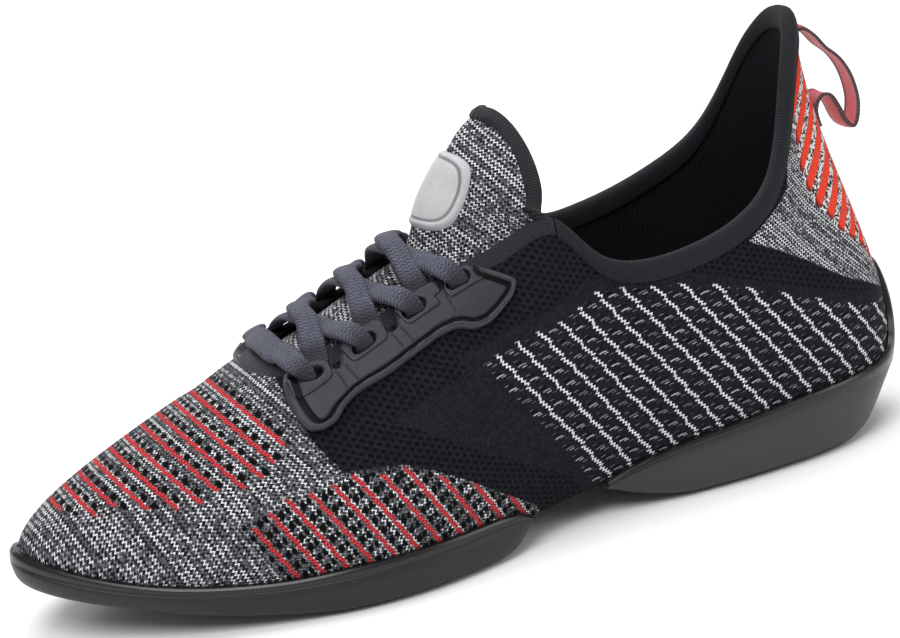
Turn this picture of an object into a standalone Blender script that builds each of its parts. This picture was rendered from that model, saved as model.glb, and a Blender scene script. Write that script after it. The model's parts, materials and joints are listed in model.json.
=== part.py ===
"""Split-sole knit dance sneaker, left shoe. Metres, +Z up, toe towards -X, outer (lateral) side towards -Y.

The upper is one hollow wall. Its outer surface is a ring of meridians: each row of SECTIONS is one meridian, a cubic
curve from the foot line, where the wall meets the bottom board, up to the opening line of the collar and throat.
Everything that touches the wall (soles, bindings, lace plates, insole) is worked out from the same function."""

import math

import bmesh
import bpy
import numpy as np
from mathutils import Matrix

for leftover in list(bpy.data.objects):
    bpy.data.objects.remove(leftover, do_unlink=True)

# ---------------------------------------------------------------- named sizes, in millimetres
MM = 0.001
GAP = 0.35            # air left between two pieces that touch
CENTRE = (1.317, 0.696)   # middle of the finished shoe's box; the last step puts it on the axis
WALL_TOE = 2.0        # knit and lining at the forefoot
WALL_HEEL = 2.8       # knit, foam and lining round the heel
BIND_WIDTH = 6.0      # collar edging, measured down the wall
THROAT_WIDTH = 5.0    # folded band along the throat
BIND_PROUD = 0.7      # edging stands this far proud of the wall, each side
RIM_WALL = 1.8        # rubber wall of the cup soles
BOARD = 1.8           # bottom board
INSOLE = 3.6          # footbed at its middle
PLATE = 1.5           # moulded lace plates
TONGUE = 2.6          # tongue wall
LACE_W, LACE_T = 6.4, 2.0
RIBBON_W, RIBBON_T = 9.0, 0.9

# Sections of the upper, heel to toe. foot: x, y outer, y inner, z; lean and reach of the wall as it leaves the foot
# line; top: x, y outer, y inner, z outer, z inner; lean and reach of the wall as it leaves the opening line.
SECTIONS = (
    # x_f,  yf_o,  yf_i,  z_f,  lean_f, len_f,  x_t,   yt_o,  yt_i,  zt_o,  zt_i, lean_t, len_t
    (125.5,   0.0,  0.0, 14.0,  27.0, 27.0,  112.5,   0.0,  0.0, 120.0, 120.0,  -3.0, 42.0),
    (122.5, -10.0, 10.0, 14.0,  26.0, 26.0,  111.0,  -7.5,  7.5, 118.3, 118.5,  -2.0, 40.0),
    (116.5, -17.5, 17.5, 14.0,  25.0, 24.0,  106.5, -13.5, 13.5, 111.5, 112.5,   0.0, 36.0),
    (108.0, -22.5, 22.5, 13.8,  24.0, 22.0,  101.5, -18.0, 18.0, 101.0, 103.5,   2.0, 32.0),
    ( 98.0, -25.5, 25.5, 13.5,  23.0, 20.0,   96.0, -22.0, 22.0,  89.0,  93.5,   4.0, 27.0),
    ( 87.0, -27.0, 27.0, 13.0,  22.0, 19.0,   88.5, -25.5, 25.5,  78.5,  84.5,   4.0, 22.0),
    ( 76.0, -27.8, 27.3, 12.5,  22.0, 18.0,   77.5, -27.5, 27.5,  72.0,  78.5,   3.0, 20.0),
    ( 63.0, -27.8, 26.5, 12.0,  23.0, 18.0,   64.0, -28.0, 28.0,  68.5,  74.3,   3.0, 20.0),
    ( 50.0, -27.0, 25.0, 11.3,  25.0, 19.0,   50.5, -27.0, 26.5,  67.5,  72.5,   5.0, 20.0),
    ( 37.0, -26.3, 23.2, 10.3,  28.0, 21.0,   38.5, -23.5, 23.0,  71.5,  74.5,  14.0, 20.0),
    ( 24.0, -27.0, 22.3,  9.2,  30.0, 25.0,   29.0, -18.0, 17.5,  83.0,  83.5,  32.0, 22.0),
    (  8.0, -30.5, 23.0,  8.2,  26.0, 27.0,   14.5, -16.2, 15.7,  80.0,  80.3,  45.0, 22.0),
    ( -9.0, -36.0, 27.0,  7.6,  22.0, 26.0,    0.5, -15.6, 15.2,  76.3,  76.7,  50.0, 22.0),
    (-27.0, -40.5, 33.5,  7.3,  20.0, 24.0,  -14.0, -15.8, 15.5,  71.8,  72.3,  52.0, 22.0),
    (-47.0, -40.5, 40.0,  7.5,  18.0, 22.0,  -28.0, -16.3, 16.0,  66.8,  67.3,  53.0, 22.0),
    (-69.0, -34.5, 43.0,  8.3,  17.0, 20.0,  -39.0, -16.0, 16.0,  63.0,  63.3,  56.0, 23.0),
    (-90.0, -25.5, 38.5, 10.8,  17.0, 20.0,  -46.8, -13.2, 13.2,  61.6,  61.7,  61.0, 28.0),
    (-110.0,-11.5, 26.0, 14.2,  19.0, 19.0,  -51.0,  -7.5,  7.5,  61.4,  61.4,  65.0, 39.0),
    (-124.3,  7.0,  7.0, 18.5,  22.0, 17.0,  -52.6,   0.0,  0.0,  61.5,  61.5,  66.5, 44.0),
)
CORNER = 10           # the row where collar and throat meet
ROUND = 10            # steps up the wall


# ---------------------------------------------------------------- curves
def periodic_spline(knots, values, at):
    """Cubic spline through values at knots, closed on itself; knots has one entry more than values."""
    n = len(values)
    h = np.diff(knots)
    a = np.zeros((n, n))
    r = np.zeros((n, values.shape[1]))
    for i in range(n):
        hp, hn = h[i - 1], h[i]
        a[i, i - 1] += hp
        a[i, i] += 2 * (hp + hn)
        a[i, (i + 1) % n] += hn
        r[i] = 6 * ((values[(i + 1) % n] - values[i]) / hn - (values[i] - values[i - 1]) / hp)
    m = np.linalg.solve(a, r)
    k = np.clip(np.searchsorted(knots, at, side="right") - 1, 0, n - 1)
    hk = h[k][:, None]
    u = (at - knots[k])[:, None]
    v0, v1, m0, m1 = values[k], values[(k + 1) % n], m[k], m[(k + 1) % n]
    return v0 + u * ((v1 - v0) / hk - hk * (2 * m0 + m1) / 6) + u**2 * m0 / 2 + u**3 * (m1 - m0) / (6 * hk)


def ring_columns():
    """The rows of SECTIONS as one closed ring: outer side heel to toe, then inner side toe to heel."""
    t = np.array(SECTIONS, float)
    outer = t[:, [0, 1, 3, 4, 5, 6, 7, 9, 11, 12]]
    inner = t[:, [0, 2, 3, 4, 5, 6, 8, 10, 11, 12]][1:-1][::-1]
    return np.concatenate([outer, inner])


COLS = ring_columns()
ROWS = len(SECTIONS) - 1          # row number of the toe; the ring has 2 * ROWS rows
_foot, _top = COLS[:, [0, 1, 2]], COLS[:, [5, 6, 7]]
_step = 0.5 * np.linalg.norm(np.roll(_foot, -1, 0) - _foot, axis=1) + 0.5 * np.linalg.norm(np.roll(_top, -1, 0) - _top, axis=1)
KNOTS = np.concatenate([[0.0], np.cumsum(_step)])


def ring_at(rows):
    """COLS at fractional row numbers, 0 at the heel, ROWS at the toe, 2 * ROWS back at the heel."""
    rows = np.mod(np.atleast_1d(np.asarray(rows, float)), 2 * ROWS)
    t = np.interp(rows, np.arange(2 * ROWS + 1), KNOTS)
    return periodic_spline(KNOTS, COLS, t)


def plan_normal(rows, cols):
    """Outward normal, in plan, of the foot line (cols 0, 1) or opening line (cols 5, 6)."""
    e = 0.02
    d = ring_at(np.asarray(rows) + e)[:, cols] - ring_at(np.asarray(rows) - e)[:, cols]
    n = np.stack([-d[:, 1], d[:, 0]], 1)
    return n / np.linalg.norm(n, axis=1)[:, None]


def meridians(rows, steps=64):
    """For each row number, the wall's curve from foot to opening as steps + 1 points, and lengths along it."""
    c = ring_at(rows)
    nf = plan_normal(rows, [0, 1])
    nt = plan_normal(rows, [5, 6])
    p0, p3 = c[:, [0, 1, 2]], c[:, [5, 6, 7]]
    lf, lt = np.radians(c[:, 3]), np.radians(c[:, 8])
    t0 = np.concatenate([nf * np.sin(lf)[:, None], np.cos(lf)[:, None]], 1)
    t1 = np.concatenate([nt * np.sin(lt)[:, None], -np.cos(lt)[:, None]], 1)
    p1, p2 = p0 + t0 * c[:, [4]], p3 + t1 * c[:, [9]]
    v = np.linspace(0, 1, steps + 1)[None, :, None]
    pts = ((1 - v) ** 3 * p0[:, None] + 3 * (1 - v) ** 2 * v * p1[:, None] + 3 * (1 - v) * v**2 * p2[:, None] + v**3 * p3[:, None])
    s = np.concatenate([np.zeros((len(p0), 1)), np.cumsum(np.linalg.norm(np.diff(pts, axis=1), axis=2), 1)], 1)
    return pts, s


def wall(rows, s_from_top=None, s_from_foot=None, share=None):
    """Points of the wall's outer surface, one row of points for each row number. The place up the wall is a length
    below the opening, a length above the foot line, or a share of the whole; below zero runs on straight."""
    pts, s = meridians(rows)
    out = []
    for i in range(len(pts)):
        total = s[i, -1]
        if s_from_top is not None:
            want = total - np.atleast_1d(s_from_top[i] if np.ndim(s_from_top) > 1 else s_from_top)
        elif s_from_foot is not None:
            want = np.atleast_1d(s_from_foot[i] if np.ndim(s_from_foot) > 1 else s_from_foot)
        else:
            want = total * np.atleast_1d(share)
        p = np.stack([np.interp(want, s[i], pts[i, :, k]) for k in range(3)], 1)
        over, under = want - total, -want
        t_top = (pts[i, -1] - pts[i, -2]) / np.linalg.norm(pts[i, -1] - pts[i, -2])
        t_bot = (pts[i, 0] - pts[i, 1]) / np.linalg.norm(pts[i, 0] - pts[i, 1])
        p += np.clip(over, 0, None)[:, None] * t_top + np.clip(under, 0, None)[:, None] * t_bot
        out.append(p)
    return np.array(out)


def grid_normals(g, closed):
    """Outward normals of a grid of points (around, up)."""
    if closed:
        du = np.roll(g, -1, 0) - np.roll(g, 1, 0)
    else:
        du = np.gradient(g, axis=0)
    dv = np.gradient(g, axis=1)
    n = np.cross(dv, du)
    n /= np.linalg.norm(n, axis=2)[:, :, None] + 1e-12
    return n


def wall_normals(rows, lengths):
    """Outward normals at lengths below the opening, one set of lengths for each row."""
    e = 0.03
    a = wall(np.asarray(rows) + e, s_from_top=lengths)
    b = wall(np.asarray(rows) - e, s_from_top=lengths)
    up = wall(rows, s_from_top=np.asarray(lengths) - 0.3) - wall(rows, s_from_top=np.asarray(lengths) + 0.3)
    n = np.cross(up, a - b)
    return n / (np.linalg.norm(n, axis=2)[:, :, None] + 1e-12)


def wall_thickness(rows):
    """Thick round the heel, thin at the forefoot."""
    r = np.abs(np.mod(np.asarray(rows, float) + ROWS, 2 * ROWS) - ROWS)
    return WALL_TOE + (WALL_HEEL - WALL_TOE) * (1 - np.clip((r - 7) / 5, 0, 1))


# ---------------------------------------------------------------- mesh building
def make(name, verts, faces, colour, roughness, metallic=0.0, smooth=True):
    mesh = bpy.data.meshes.new(name)
    mesh.from_pydata([tuple(np.asarray(v, float) * MM) for v in verts], [], [tuple(int(i) for i in f) for f in faces])
    bm = bmesh.new()
    bm.from_mesh(mesh)
    bmesh.ops.remove_doubles(bm, verts=bm.verts, dist=1e-6)
    bmesh.ops.recalc_face_normals(bm, faces=bm.faces)
    bmesh.ops.triangulate(bm, faces=bm.faces)
    if bm.calc_volume(signed=True) < 0:
        bmesh.ops.reverse_faces(bm, faces=bm.faces)
    bm.to_mesh(mesh)
    bm.free()
    if smooth:
        mesh.shade_smooth()
        mesh.set_sharp_from_angle(angle=math.radians(40))
    obj = bpy.data.objects.new(name, mesh)
    bpy.context.scene.collection.objects.link(obj)
    mat = bpy.data.materials.new(name)
    mat.use_nodes = True
    bsdf = mat.node_tree.nodes["Principled BSDF"]
    bsdf.inputs["Base Color"].default_value = (*colour, 1.0)
    bsdf.inputs["Roughness"].default_value = roughness
    bsdf.inputs["Metallic"].default_value = metallic
    mesh.materials.append(mat)
    return obj


def loops_solid(loops, closed_around, closed_section=True):
    """A solid from grid loops[around][section]: the section is a closed polygon swept round, capped if not closed."""
    g = np.asarray(loops, float)
    nu, nv = g.shape[:2]
    verts = g.reshape(-1, 3)
    faces = []
    for i in range(nu if closed_around else nu - 1):
        for j in range(nv if closed_section else nv - 1):
            a, b = i * nv + j, ((i + 1) % nu) * nv + j
            c, d = ((i + 1) % nu) * nv + (j + 1) % nv, i * nv + (j + 1) % nv
            faces.append((a, b, c, d))
    if not closed_around:
        faces.append(tuple(range(nv)))
        faces.append(tuple((nu - 1) * nv + j for j in reversed(range(nv))))
    return verts, faces


def plate_between(top, bottom):
    """Closed solid between two grids of equal shape (rows, across), with side walls."""
    top, bottom = np.asarray(top, float), np.asarray(bottom, float)
    nr, nc = top.shape[:2]
    verts = np.concatenate([top.reshape(-1, 3), bottom.reshape(-1, 3)])
    off = nr * nc
    faces = []
    for i in range(nr - 1):
        for j in range(nc - 1):
            a, b, c, d = i * nc + j, (i + 1) * nc + j, (i + 1) * nc + j + 1, i * nc + j + 1
            faces.append((a, b, c, d))
            faces.append((off + d, off + c, off + b, off + a))
    for i in range(nr - 1):
        for j in (0, nc - 1):
            a, b = i * nc + j, (i + 1) * nc + j
            faces.append((a, off + a, off + b, b) if j == 0 else (b, off + b, off + a, a))
    for j in range(nc - 1):
        for i in (0, nr - 1):
            a, b = i * nc + j, i * nc + j + 1
            faces.append((b, off + b, off + a, a) if i == 0 else (a, off + a, off + b, b))
    return verts, faces


# ---------------------------------------------------------------- colours, as linear values
BLACK_KNIT = (0.012, 0.012, 0.014)
RUBBER = (0.018, 0.018, 0.020)
NAVY_BLACK = (0.020, 0.021, 0.028)
GREY_LACE = (0.045, 0.045, 0.055)
MELANGE = (0.12, 0.12, 0.13)
RED = (0.55, 0.035, 0.03)


# ---------------------------------------------------------------- where the pieces are cut
SIDE = sorted({1 / 6, 0.5, 5 / 6, *(k / 3 for k in range(13)), *(4 + k / 2 for k in range(19)), *(13 + k / 3 for k in range(16))})


def between(first, last):
    """Row numbers from first to last, ends kept, at the ring's own stations between; last may pass the toe."""
    ring = np.array(SIDE + [2 * ROWS - r for r in SIDE[-2::-1]] + [2 * ROWS + r for r in SIDE[1:]])
    ring = np.concatenate([ring - 2 * ROWS, ring])
    ring = np.unique(np.round(ring, 6))
    inside = ring[(ring > first + 0.12) & (ring < last - 0.12)]
    return np.concatenate([[first], inside, [last]])


def on_wall(rows, lengths, lift):
    """Points lifted off the wall's outer surface; lengths below the opening and lifts are (rows, n) or (n,)."""
    rows = np.asarray(rows, float)
    lengths = np.broadcast_to(np.asarray(lengths, float), (len(rows), np.shape(lengths)[-1]))
    lift = np.broadcast_to(np.asarray(lift, float), lengths.shape)
    return wall(rows, s_from_top=lengths) + wall_normals(rows, lengths) * lift[:, :, None]


def table(at, pairs):
    """Smooth look-up in a short table of (place, value) pairs."""
    x, y = np.array(pairs, float).T
    h = np.diff(x)
    d = np.diff(y) / h
    m = np.zeros_like(y)
    m[0], m[-1] = d[0], d[-1]
    for i in range(1, len(y) - 1):
        m[i] = 0.0 if d[i - 1] * d[i] <= 0 else 2 * d[i - 1] * d[i] / (d[i - 1] + d[i])
    at = np.clip(np.asarray(at, float), x[0], x[-1])
    k = np.clip(np.searchsorted(x, at, side="right") - 1, 0, len(h) - 1)
    t = (at - x[k]) / h[k]
    return ((2 * t**3 - 3 * t**2 + 1) * y[k] + (t**3 - 2 * t**2 + t) * h[k] * m[k]
            + (3 * t**2 - 2 * t**3) * y[k + 1] + (t**3 - t**2) * h[k] * m[k + 1])


# ---------------------------------------------------------------- upper
def build_upper():
    rows = between(0, 2 * ROWS)[:-1]
    near = np.abs(np.mod(rows + ROWS, 2 * ROWS) - ROWS)
    edge = np.where(near <= CORNER + 0.01, BIND_WIDTH, THROAT_WIDTH) + GAP
    _, s = meridians(rows)
    total = s[:, [-1]]
    share = np.linspace(0, 1, ROUND + 1)[None, :]
    lengths = (1 - share) * (total - edge[:, None]) + edge[:, None]
    outer = on_wall(rows, lengths, 0.0)
    inner = on_wall(rows, lengths, -wall_thickness(rows)[:, None])
    inner[:, 0, 2] = outer[:, 0, 2]
    section = np.concatenate([outer, inner[:, ::-1]], 1)
    return make("upper", *loops_solid(section, True), BLACK_KNIT, 0.9)


def foot_edge(rows, inset):
    """The foot line brought in, in plan, by the wall's thickness there and a little more."""
    c = ring_at(rows)
    n = plan_normal(rows, [0, 1])
    t = wall_thickness(rows) * np.cos(np.radians(c[:, 3]))
    return np.concatenate([c[:, :2] - n * (t + inset)[:, None], c[:, [2]]], 1)


def ladder(rows, edge, across):
    """Rungs between the outer and inner side of the shoe: edge(rows) gives points on the ring."""
    outer, inner = edge(rows), edge(2 * ROWS - rows)
    v = np.linspace(0, 1, across + 1)[None, :, None]
    return outer[:, None] * (1 - v) + inner[:, None] * v


def build_bottom_board():
    rows = between(0, ROWS)
    low = ladder(rows, lambda r: foot_edge(r, GAP), 4)
    high = low + np.array([0, 0, BOARD])
    return make("bottom_board", *plate_between(high, low), (0.03, 0.03, 0.032), 0.85)


def build_insole():
    rows = between(0, ROWS)
    def edge(r):
        p = foot_edge(r, GAP + 0.25)
        p[:, 2] += BOARD + GAP
        return p
    low = ladder(rows, edge, 6)
    v = np.linspace(-1, 1, 7)[None, :]
    x = low[:, :, 0].mean(1)
    heel = np.clip((x - 20) / 60, 0, 1)[:, None]
    arch = np.exp(-((x - 22) / 26) ** 2)[:, None]
    thick = INSOLE + 1.6 * heel * v**4 + 1.8 * arch * np.clip(v, 0, 1) ** 2
    thick = thick * np.clip((x[0] - x) / 4, 0.6, 1)[:, None] * np.clip((x - x[-1]) / 4, 0.6, 1)[:, None]
    thick[[0, -1]] = thick[[0, -1]].mean(1)[:, None]
    high = low.copy()
    high[:, :, 2] += thick
    return make("insole", *plate_between(high, low), (0.025, 0.025, 0.028), 0.9)


# ---------------------------------------------------------------- cup soles
RIM_HEEL = ((0, 29.0), (0.17, 28.0), (0.33, 24.5), (0.5, 19.0), (0.67, 13.5), (1.0, 8.6), (1.33, 7.0), (2, 6.4), (3, 6.3), (5, 6.3), (7, 5.2), (8, 4.4), (9, 2.8), (9.65, 1.3))
RIM_FORE = ((11.26, 1.6), (11.5, 3.6), (12, 4.9), (13, 5.4), (14, 5.0), (15, 3.9), (16, 3.4), (17, 4.4), (18, 6.2))
BOTTOM = ((-132, 16.5), (-120, 12.6), (-112, 10.3), (-98, 7.4), (-88, 5.2), (-73, 2.6), (-60, 0.8), (-50, 0.0), (-9, 0.0), (-4, 0.4), (0, 1.5), (4, 3.6), (26, 8.0), (30, 7.0), (34, 5.3), (40, 3.1), (44, 1.9), (50, 0.5), (56, 0.0), (101, 0.0), (110, 1.2), (118, 3.6), (134, 10.0))
TUCK_FORE = ((11.26, 3.0), (11.5, 1.2), (11.8, 0.2), (12, 0.0), (18, 0.0))
TUCK_HEEL = ((0, 7.0), (1, 6.5), (2, 4.4), (3.5, 1.4), (5, 0.0), (9, 0.0), (9.65, 1.5))


def sole_side(rows, rim, tuck):
    """One side of a cup sole: for each row, points from the platform up the inside of the rim, over it and down."""
    near = np.abs(np.mod(rows + ROWS, 2 * ROWS) - ROWS)
    height, back = table(near, rim), table(near, tuck)
    pts, s = meridians(rows)
    total = s[:, -1]
    z_foot = pts[:, 0, 2]
    reach = np.array([np.interp(z_foot[i] + height[i], pts[i, :, 2], s[i]) for i in range(len(rows))])
    up = np.array([0.25, 0.5, 0.75, 1.0])[None, :] * reach[:, None]
    inside = on_wall(rows, total[:, None] - up, GAP)
    low = 0.55 * np.minimum(reach, 6.0)
    down = np.stack([reach, 0.85 * reach, 0.5 * (0.85 * reach + low), low], 1)
    lip = on_wall(rows, total[:, None] - down, np.array([[GAP + 1.2, GAP + RIM_WALL, GAP + 1.9, GAP + 1.95]]))
    foot, n = pts[:, 0], plan_normal(rows, [0, 1])
    n3 = np.concatenate([n, np.zeros((len(n), 1))], 1)
    corner = foot + n3 * GAP
    corner[:, 2] = z_foot - GAP
    floor_z = table(foot[:, 0], BOTTOM)
    low_s = on_wall(rows, total[:, None] - np.minimum(reach, 6.0)[:, None] * 0.85, GAP + RIM_WALL)[:, 0]
    out = np.sum((low_s - foot)[:, :2] * n, 1)
    top_z = np.minimum(low_s[:, 2], z_foot + 5.0)
    side = []
    for share, push, cut in ((0.66, 0.35, 0.4), (0.34, -0.2, 0.8), (0.12, -1.5, 1.0), (0.0, -4.2, 1.0)):
        p = foot + n3 * (out + push - back * cut)[:, None]
        p[:, 2] = floor_z + (top_z - floor_z) * share if share else table(p[:, 0], BOTTOM)
        side.append(p)
    return np.concatenate([corner[:, None], inside, lip, np.stack(side, 1)], 1)


def sweep_halves(a, b, across, cap_first, cap_last):
    """Solid from two sides, each (rows, n): a from its platform to its bottom, b likewise, joined by rungs."""
    rungs = []
    v = np.linspace(0, 1, across + 1)[1:-1, None]
    for p, q in zip(a, b):
        low = p[-1] * (1 - v) + q[-1] * v
        low[:, 2] = table(low[:, 0], BOTTOM)
        high = q[0] * (1 - v) + p[0] * v
        rungs.append(np.concatenate([p, low, q[::-1], high]))
    rungs = np.array(rungs)
    nu, nv = rungs.shape[:2]
    faces = [(i * nv + j, (i + 1) * nv + j, (i + 1) * nv + (j + 1) % nv, i * nv + (j + 1) % nv) for i in range(nu - 1) for j in range(nv)]
    if cap_first:
        faces.append(tuple(range(nv)))
    if cap_last:
        faces.append(tuple((nu - 1) * nv + j for j in reversed(range(nv))))
    return rungs.reshape(-1, 3), faces


def build_heel_sole():
    rows = between(0, 9.65)
    a, b = sole_side(rows, RIM_HEEL, TUCK_HEEL), sole_side(2 * ROWS - rows, RIM_HEEL, TUCK_HEEL)
    return make("outsole_heel", *sweep_halves(a, b, 5, False, True), RUBBER, 0.5)


def build_fore_sole():
    rows = between(11.26, ROWS)
    a, b = sole_side(rows, RIM_FORE, TUCK_FORE), sole_side(2 * ROWS - rows, RIM_FORE, TUCK_FORE)
    return make("outsole_forefoot", *sweep_halves(a, b, 5, True, False), RUBBER, 0.5)


# ---------------------------------------------------------------- edgings
def build_collar_binding():
    rows = between(-CORNER + 0.02, CORNER - 0.02)
    t = wall_thickness(rows)[:, None]
    down = np.array([[6.0, 3.2, 1.0, 0.0, 0.0, 1.0, 3.2, 6.0]])
    lift = np.concatenate([0 * t + 0.45, 0 * t + 0.8, 0 * t + 0.55, -0.22 * t, -0.78 * t, -t - 0.55, -t - 0.8, -t - 0.45], 1)
    return make("collar_binding", *loops_solid(on_wall(rows, down, lift), False), NAVY_BLACK, 0.8)


def build_throat_band():
    rows = between(CORNER + 0.02, 2 * ROWS - CORNER - 0.02)
    near = np.abs(np.mod(rows + ROWS, 2 * ROWS) - ROWS)
    t = wall_thickness(rows)[:, None]
    proud = np.clip(1 - (near - 10.3) / 0.7, 0, 1)[:, None] * 0.55
    down = np.array([[5.0, 2.6, 0.6, 0.0, 0.6, 5.0]])
    lift = np.concatenate([proud * 0.8, proud, proud * 0.5, -0.5 * t, -t - 0.35, -t - 0.35], 1)
    return make("throat_band", *loops_solid(on_wall(rows, down, lift), False), NAVY_BLACK, 0.8)


# ---------------------------------------------------------------- free shapes
def through(points, steps):
    """Smooth curve through points (n, k, ...), with steps between each pair."""
    p = np.asarray(points, float)
    ends = np.concatenate([[2 * p[0] - p[1]], p, [2 * p[-1] - p[-2]]])
    out = []
    for i in range(1, len(ends) - 2):
        for t in np.arange(steps) / steps:
            a, b, c, d = ends[i - 1], ends[i], ends[i + 1], ends[i + 2]
            out.append(0.5 * (2 * b + (c - a) * t + (2 * a - 5 * b + 4 * c - d) * t**2 + (3 * b - a - 3 * c + d) * t**3))
    return np.array(out + [p[-1]])


def strap(path, ups, width, thick, bevel=0.8):
    """Flat strip along a path of points; ups points away from its face at each point."""
    path, ups = np.asarray(path, float), np.asarray(ups, float)
    along = np.gradient(path, axis=0)
    along /= np.linalg.norm(along, axis=1)[:, None]
    ups = ups - along * np.sum(ups * along, 1)[:, None]
    ups /= np.linalg.norm(ups, axis=1)[:, None]
    across = np.cross(along, ups)
    w, t = width / 2, thick / 2
    shape = ((-w, -t / 4), (-w, t / 4), (-w + bevel, t), (w - bevel, t), (w, t / 4), (w, -t / 4), (w - bevel, -t), (-w + bevel, -t))
    g = np.stack([path + across * a + ups * b for a, b in shape], 1)
    return loops_solid(g, False)


# the tongue, front to tip: row of the throat its sides run under (0 where it stands free), middle x, z;
# then for the free part the side edge's x, half width, z; reach under the wall for the rest
TONGUE_RUNGS = (
    # row,  x_mid,  z_mid,  x_side, half, z_side, wing
    (16.9, -57.0,  56.8,   0.0,    0.0,   0.0,   7.0),
    (16.2, -50.0,  60.0,   0.0,    0.0,   0.0,   7.5),
    (15.0, -39.0,  62.4,   0.0,    0.0,   0.0,   7.5),
    (14.0, -28.0,  67.0,   0.0,    0.0,   0.0,   7.5),
    (13.0, -16.5,  72.0,   0.0,    0.0,   0.0,   7.0),
    (12.2,  -8.5,  75.3,   0.0,    0.0,   0.0,   6.0),
    (11.6,  -4.0,  79.8,   0.0,    0.0,   0.0,   5.0),
    (11.1,  -1.5,  84.8,   0.0,    0.0,   0.0,   4.0),
    (10.7,   1.0,  89.8,   0.0,    0.0,   0.0,   3.0),
    (10.35,  3.8,  94.4,   0.0,    0.0,   0.0,   2.2),
    ( 0.0,   6.6,  98.6,  28.0,   12.8,  86.0,   0.0),
    ( 0.0,   9.6, 102.6,  28.4,   12.8,  92.0,   0.0),
    ( 0.0,  12.9, 106.2,  27.8,   11.6,  98.5,   0.0),
    ( 0.0,  16.0, 109.2,  26.4,    9.2, 104.5,   0.0),
    ( 0.0,  18.8, 111.4,  24.4,    6.2, 109.3,   0.0),
    ( 0.0,  20.3, 112.4,  22.2,    2.6, 112.0,   0.0),
)


def tongue_grid(across):
    """The tongue's upper face, rung by rung from the front to the tip."""
    rungs = []
    for row, xm, zm, xs, half, zs, wing in TONGUE_RUNGS:
        mid = np.array([xm, 0.0, zm])
        if row:
            sides = []
            for r in (row, 2 * ROWS - row):
                t = wall_thickness([r])[0]
                pair = on_wall([r, r], np.array([[0.4, wing]] * 2), -(t + 1.0))[0]
                sides.append(pair)
            five = np.array([sides[0][1], sides[0][0], mid, sides[1][0], sides[1][1]])
        else:
            edge = np.array([xs, half, zs])
            near = mid + (edge - mid) * np.array([0.5, 0.78, 0.45])
            flip = np.array([1, -1, 1])
            five = np.array([edge * flip, near * flip, mid, near, edge])
        fine = through(five, 8)
        s = np.concatenate([[0], np.cumsum(np.linalg.norm(np.diff(fine, axis=0), axis=1))])
        at = np.linspace(0, s[-1], across + 1)
        rungs.append(np.stack([np.interp(at, s, fine[:, k]) for k in range(3)], 1))
    return np.array(rungs)


def build_tongue():
    top = through(tongue_grid(12), 2)
    n = grid_normals(top, False)
    n *= np.sign(n[len(n) // 2, 6, 2])
    return make("tongue", *plate_between(top, top - n * TONGUE), MELANGE, 0.9)


# ---------------------------------------------------------------- lace plates
# outline on the wall: u runs along the throat from the collar corner, v down the wall from the throat's edge
PLATE_LOW = ((15.5, 12.5), (17.5, 15.5), (22, 18.0), (26, 19.7), (30.5, 19.6), (35, 16.8), (40, 16.3), (47.5, 17.0), (55.5, 18.0), (64, 17.8), (67, 20.0), (68, 23.3), (70.5, 24.7), (73, 24.2), (75.5, 20.5), (78.5, 14.5), (80, 10.0))
PLATE_HIGH = ((80.5, 6.0), (78, 3.4), (74, 3.2), (71.3, 4.6), (70, 8.0), (68.3, 8.6), (67.8, 4.0), (66.5, 1.6), (57, 1.2), (54.8, 2.6), (53.6, 7.8), (50.8, 7.6), (50.2, 2.4), (48.5, 1.4), (38, 1.4), (36.6, 2.4), (36.2, 5.2), (35.2, 5.2), (34.6, 2.4), (33, 1.4), (27.5, 1.8), (23.5, 5.2), (18.2, 9.8))
EYELETS = ((76.0, 7.4), (61.0, 6.0), (45.0, 5.6), (31.0, 5.2))     # front to back
SLOT_U, SLOT_V = 7.4, 4.4

_rows = np.linspace(CORNER, ROWS, 161)
_line = wall(_rows, s_from_top=np.array([0.0]))[:, 0]
_arc = np.concatenate([[0], np.cumsum(np.linalg.norm(np.diff(_line, axis=0), axis=1))])


def row_at(u):
    return np.interp(u, _arc, _rows)


def wrap(u, v, h, inner):
    """Points at u, v on the outer or inner side, h off the wall."""
    r = row_at(np.atleast_1d(u))
    r = 2 * ROWS - r if inner else r
    return on_wall(r, np.atleast_1d(v)[:, None], np.atleast_1d(h)[:, None])[:, 0]


def prism(name, outline, low, high):
    n = len(outline)
    verts = [(u, v, low) for u, v in outline] + [(u, v, high) for u, v in outline]
    faces = [tuple(range(n))[::-1], tuple(range(n, 2 * n))] + [(i, (i + 1) % n, n + (i + 1) % n, n + i) for i in range(n)]
    return make(name, verts, faces, RUBBER, 0.5, smooth=False)


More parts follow.
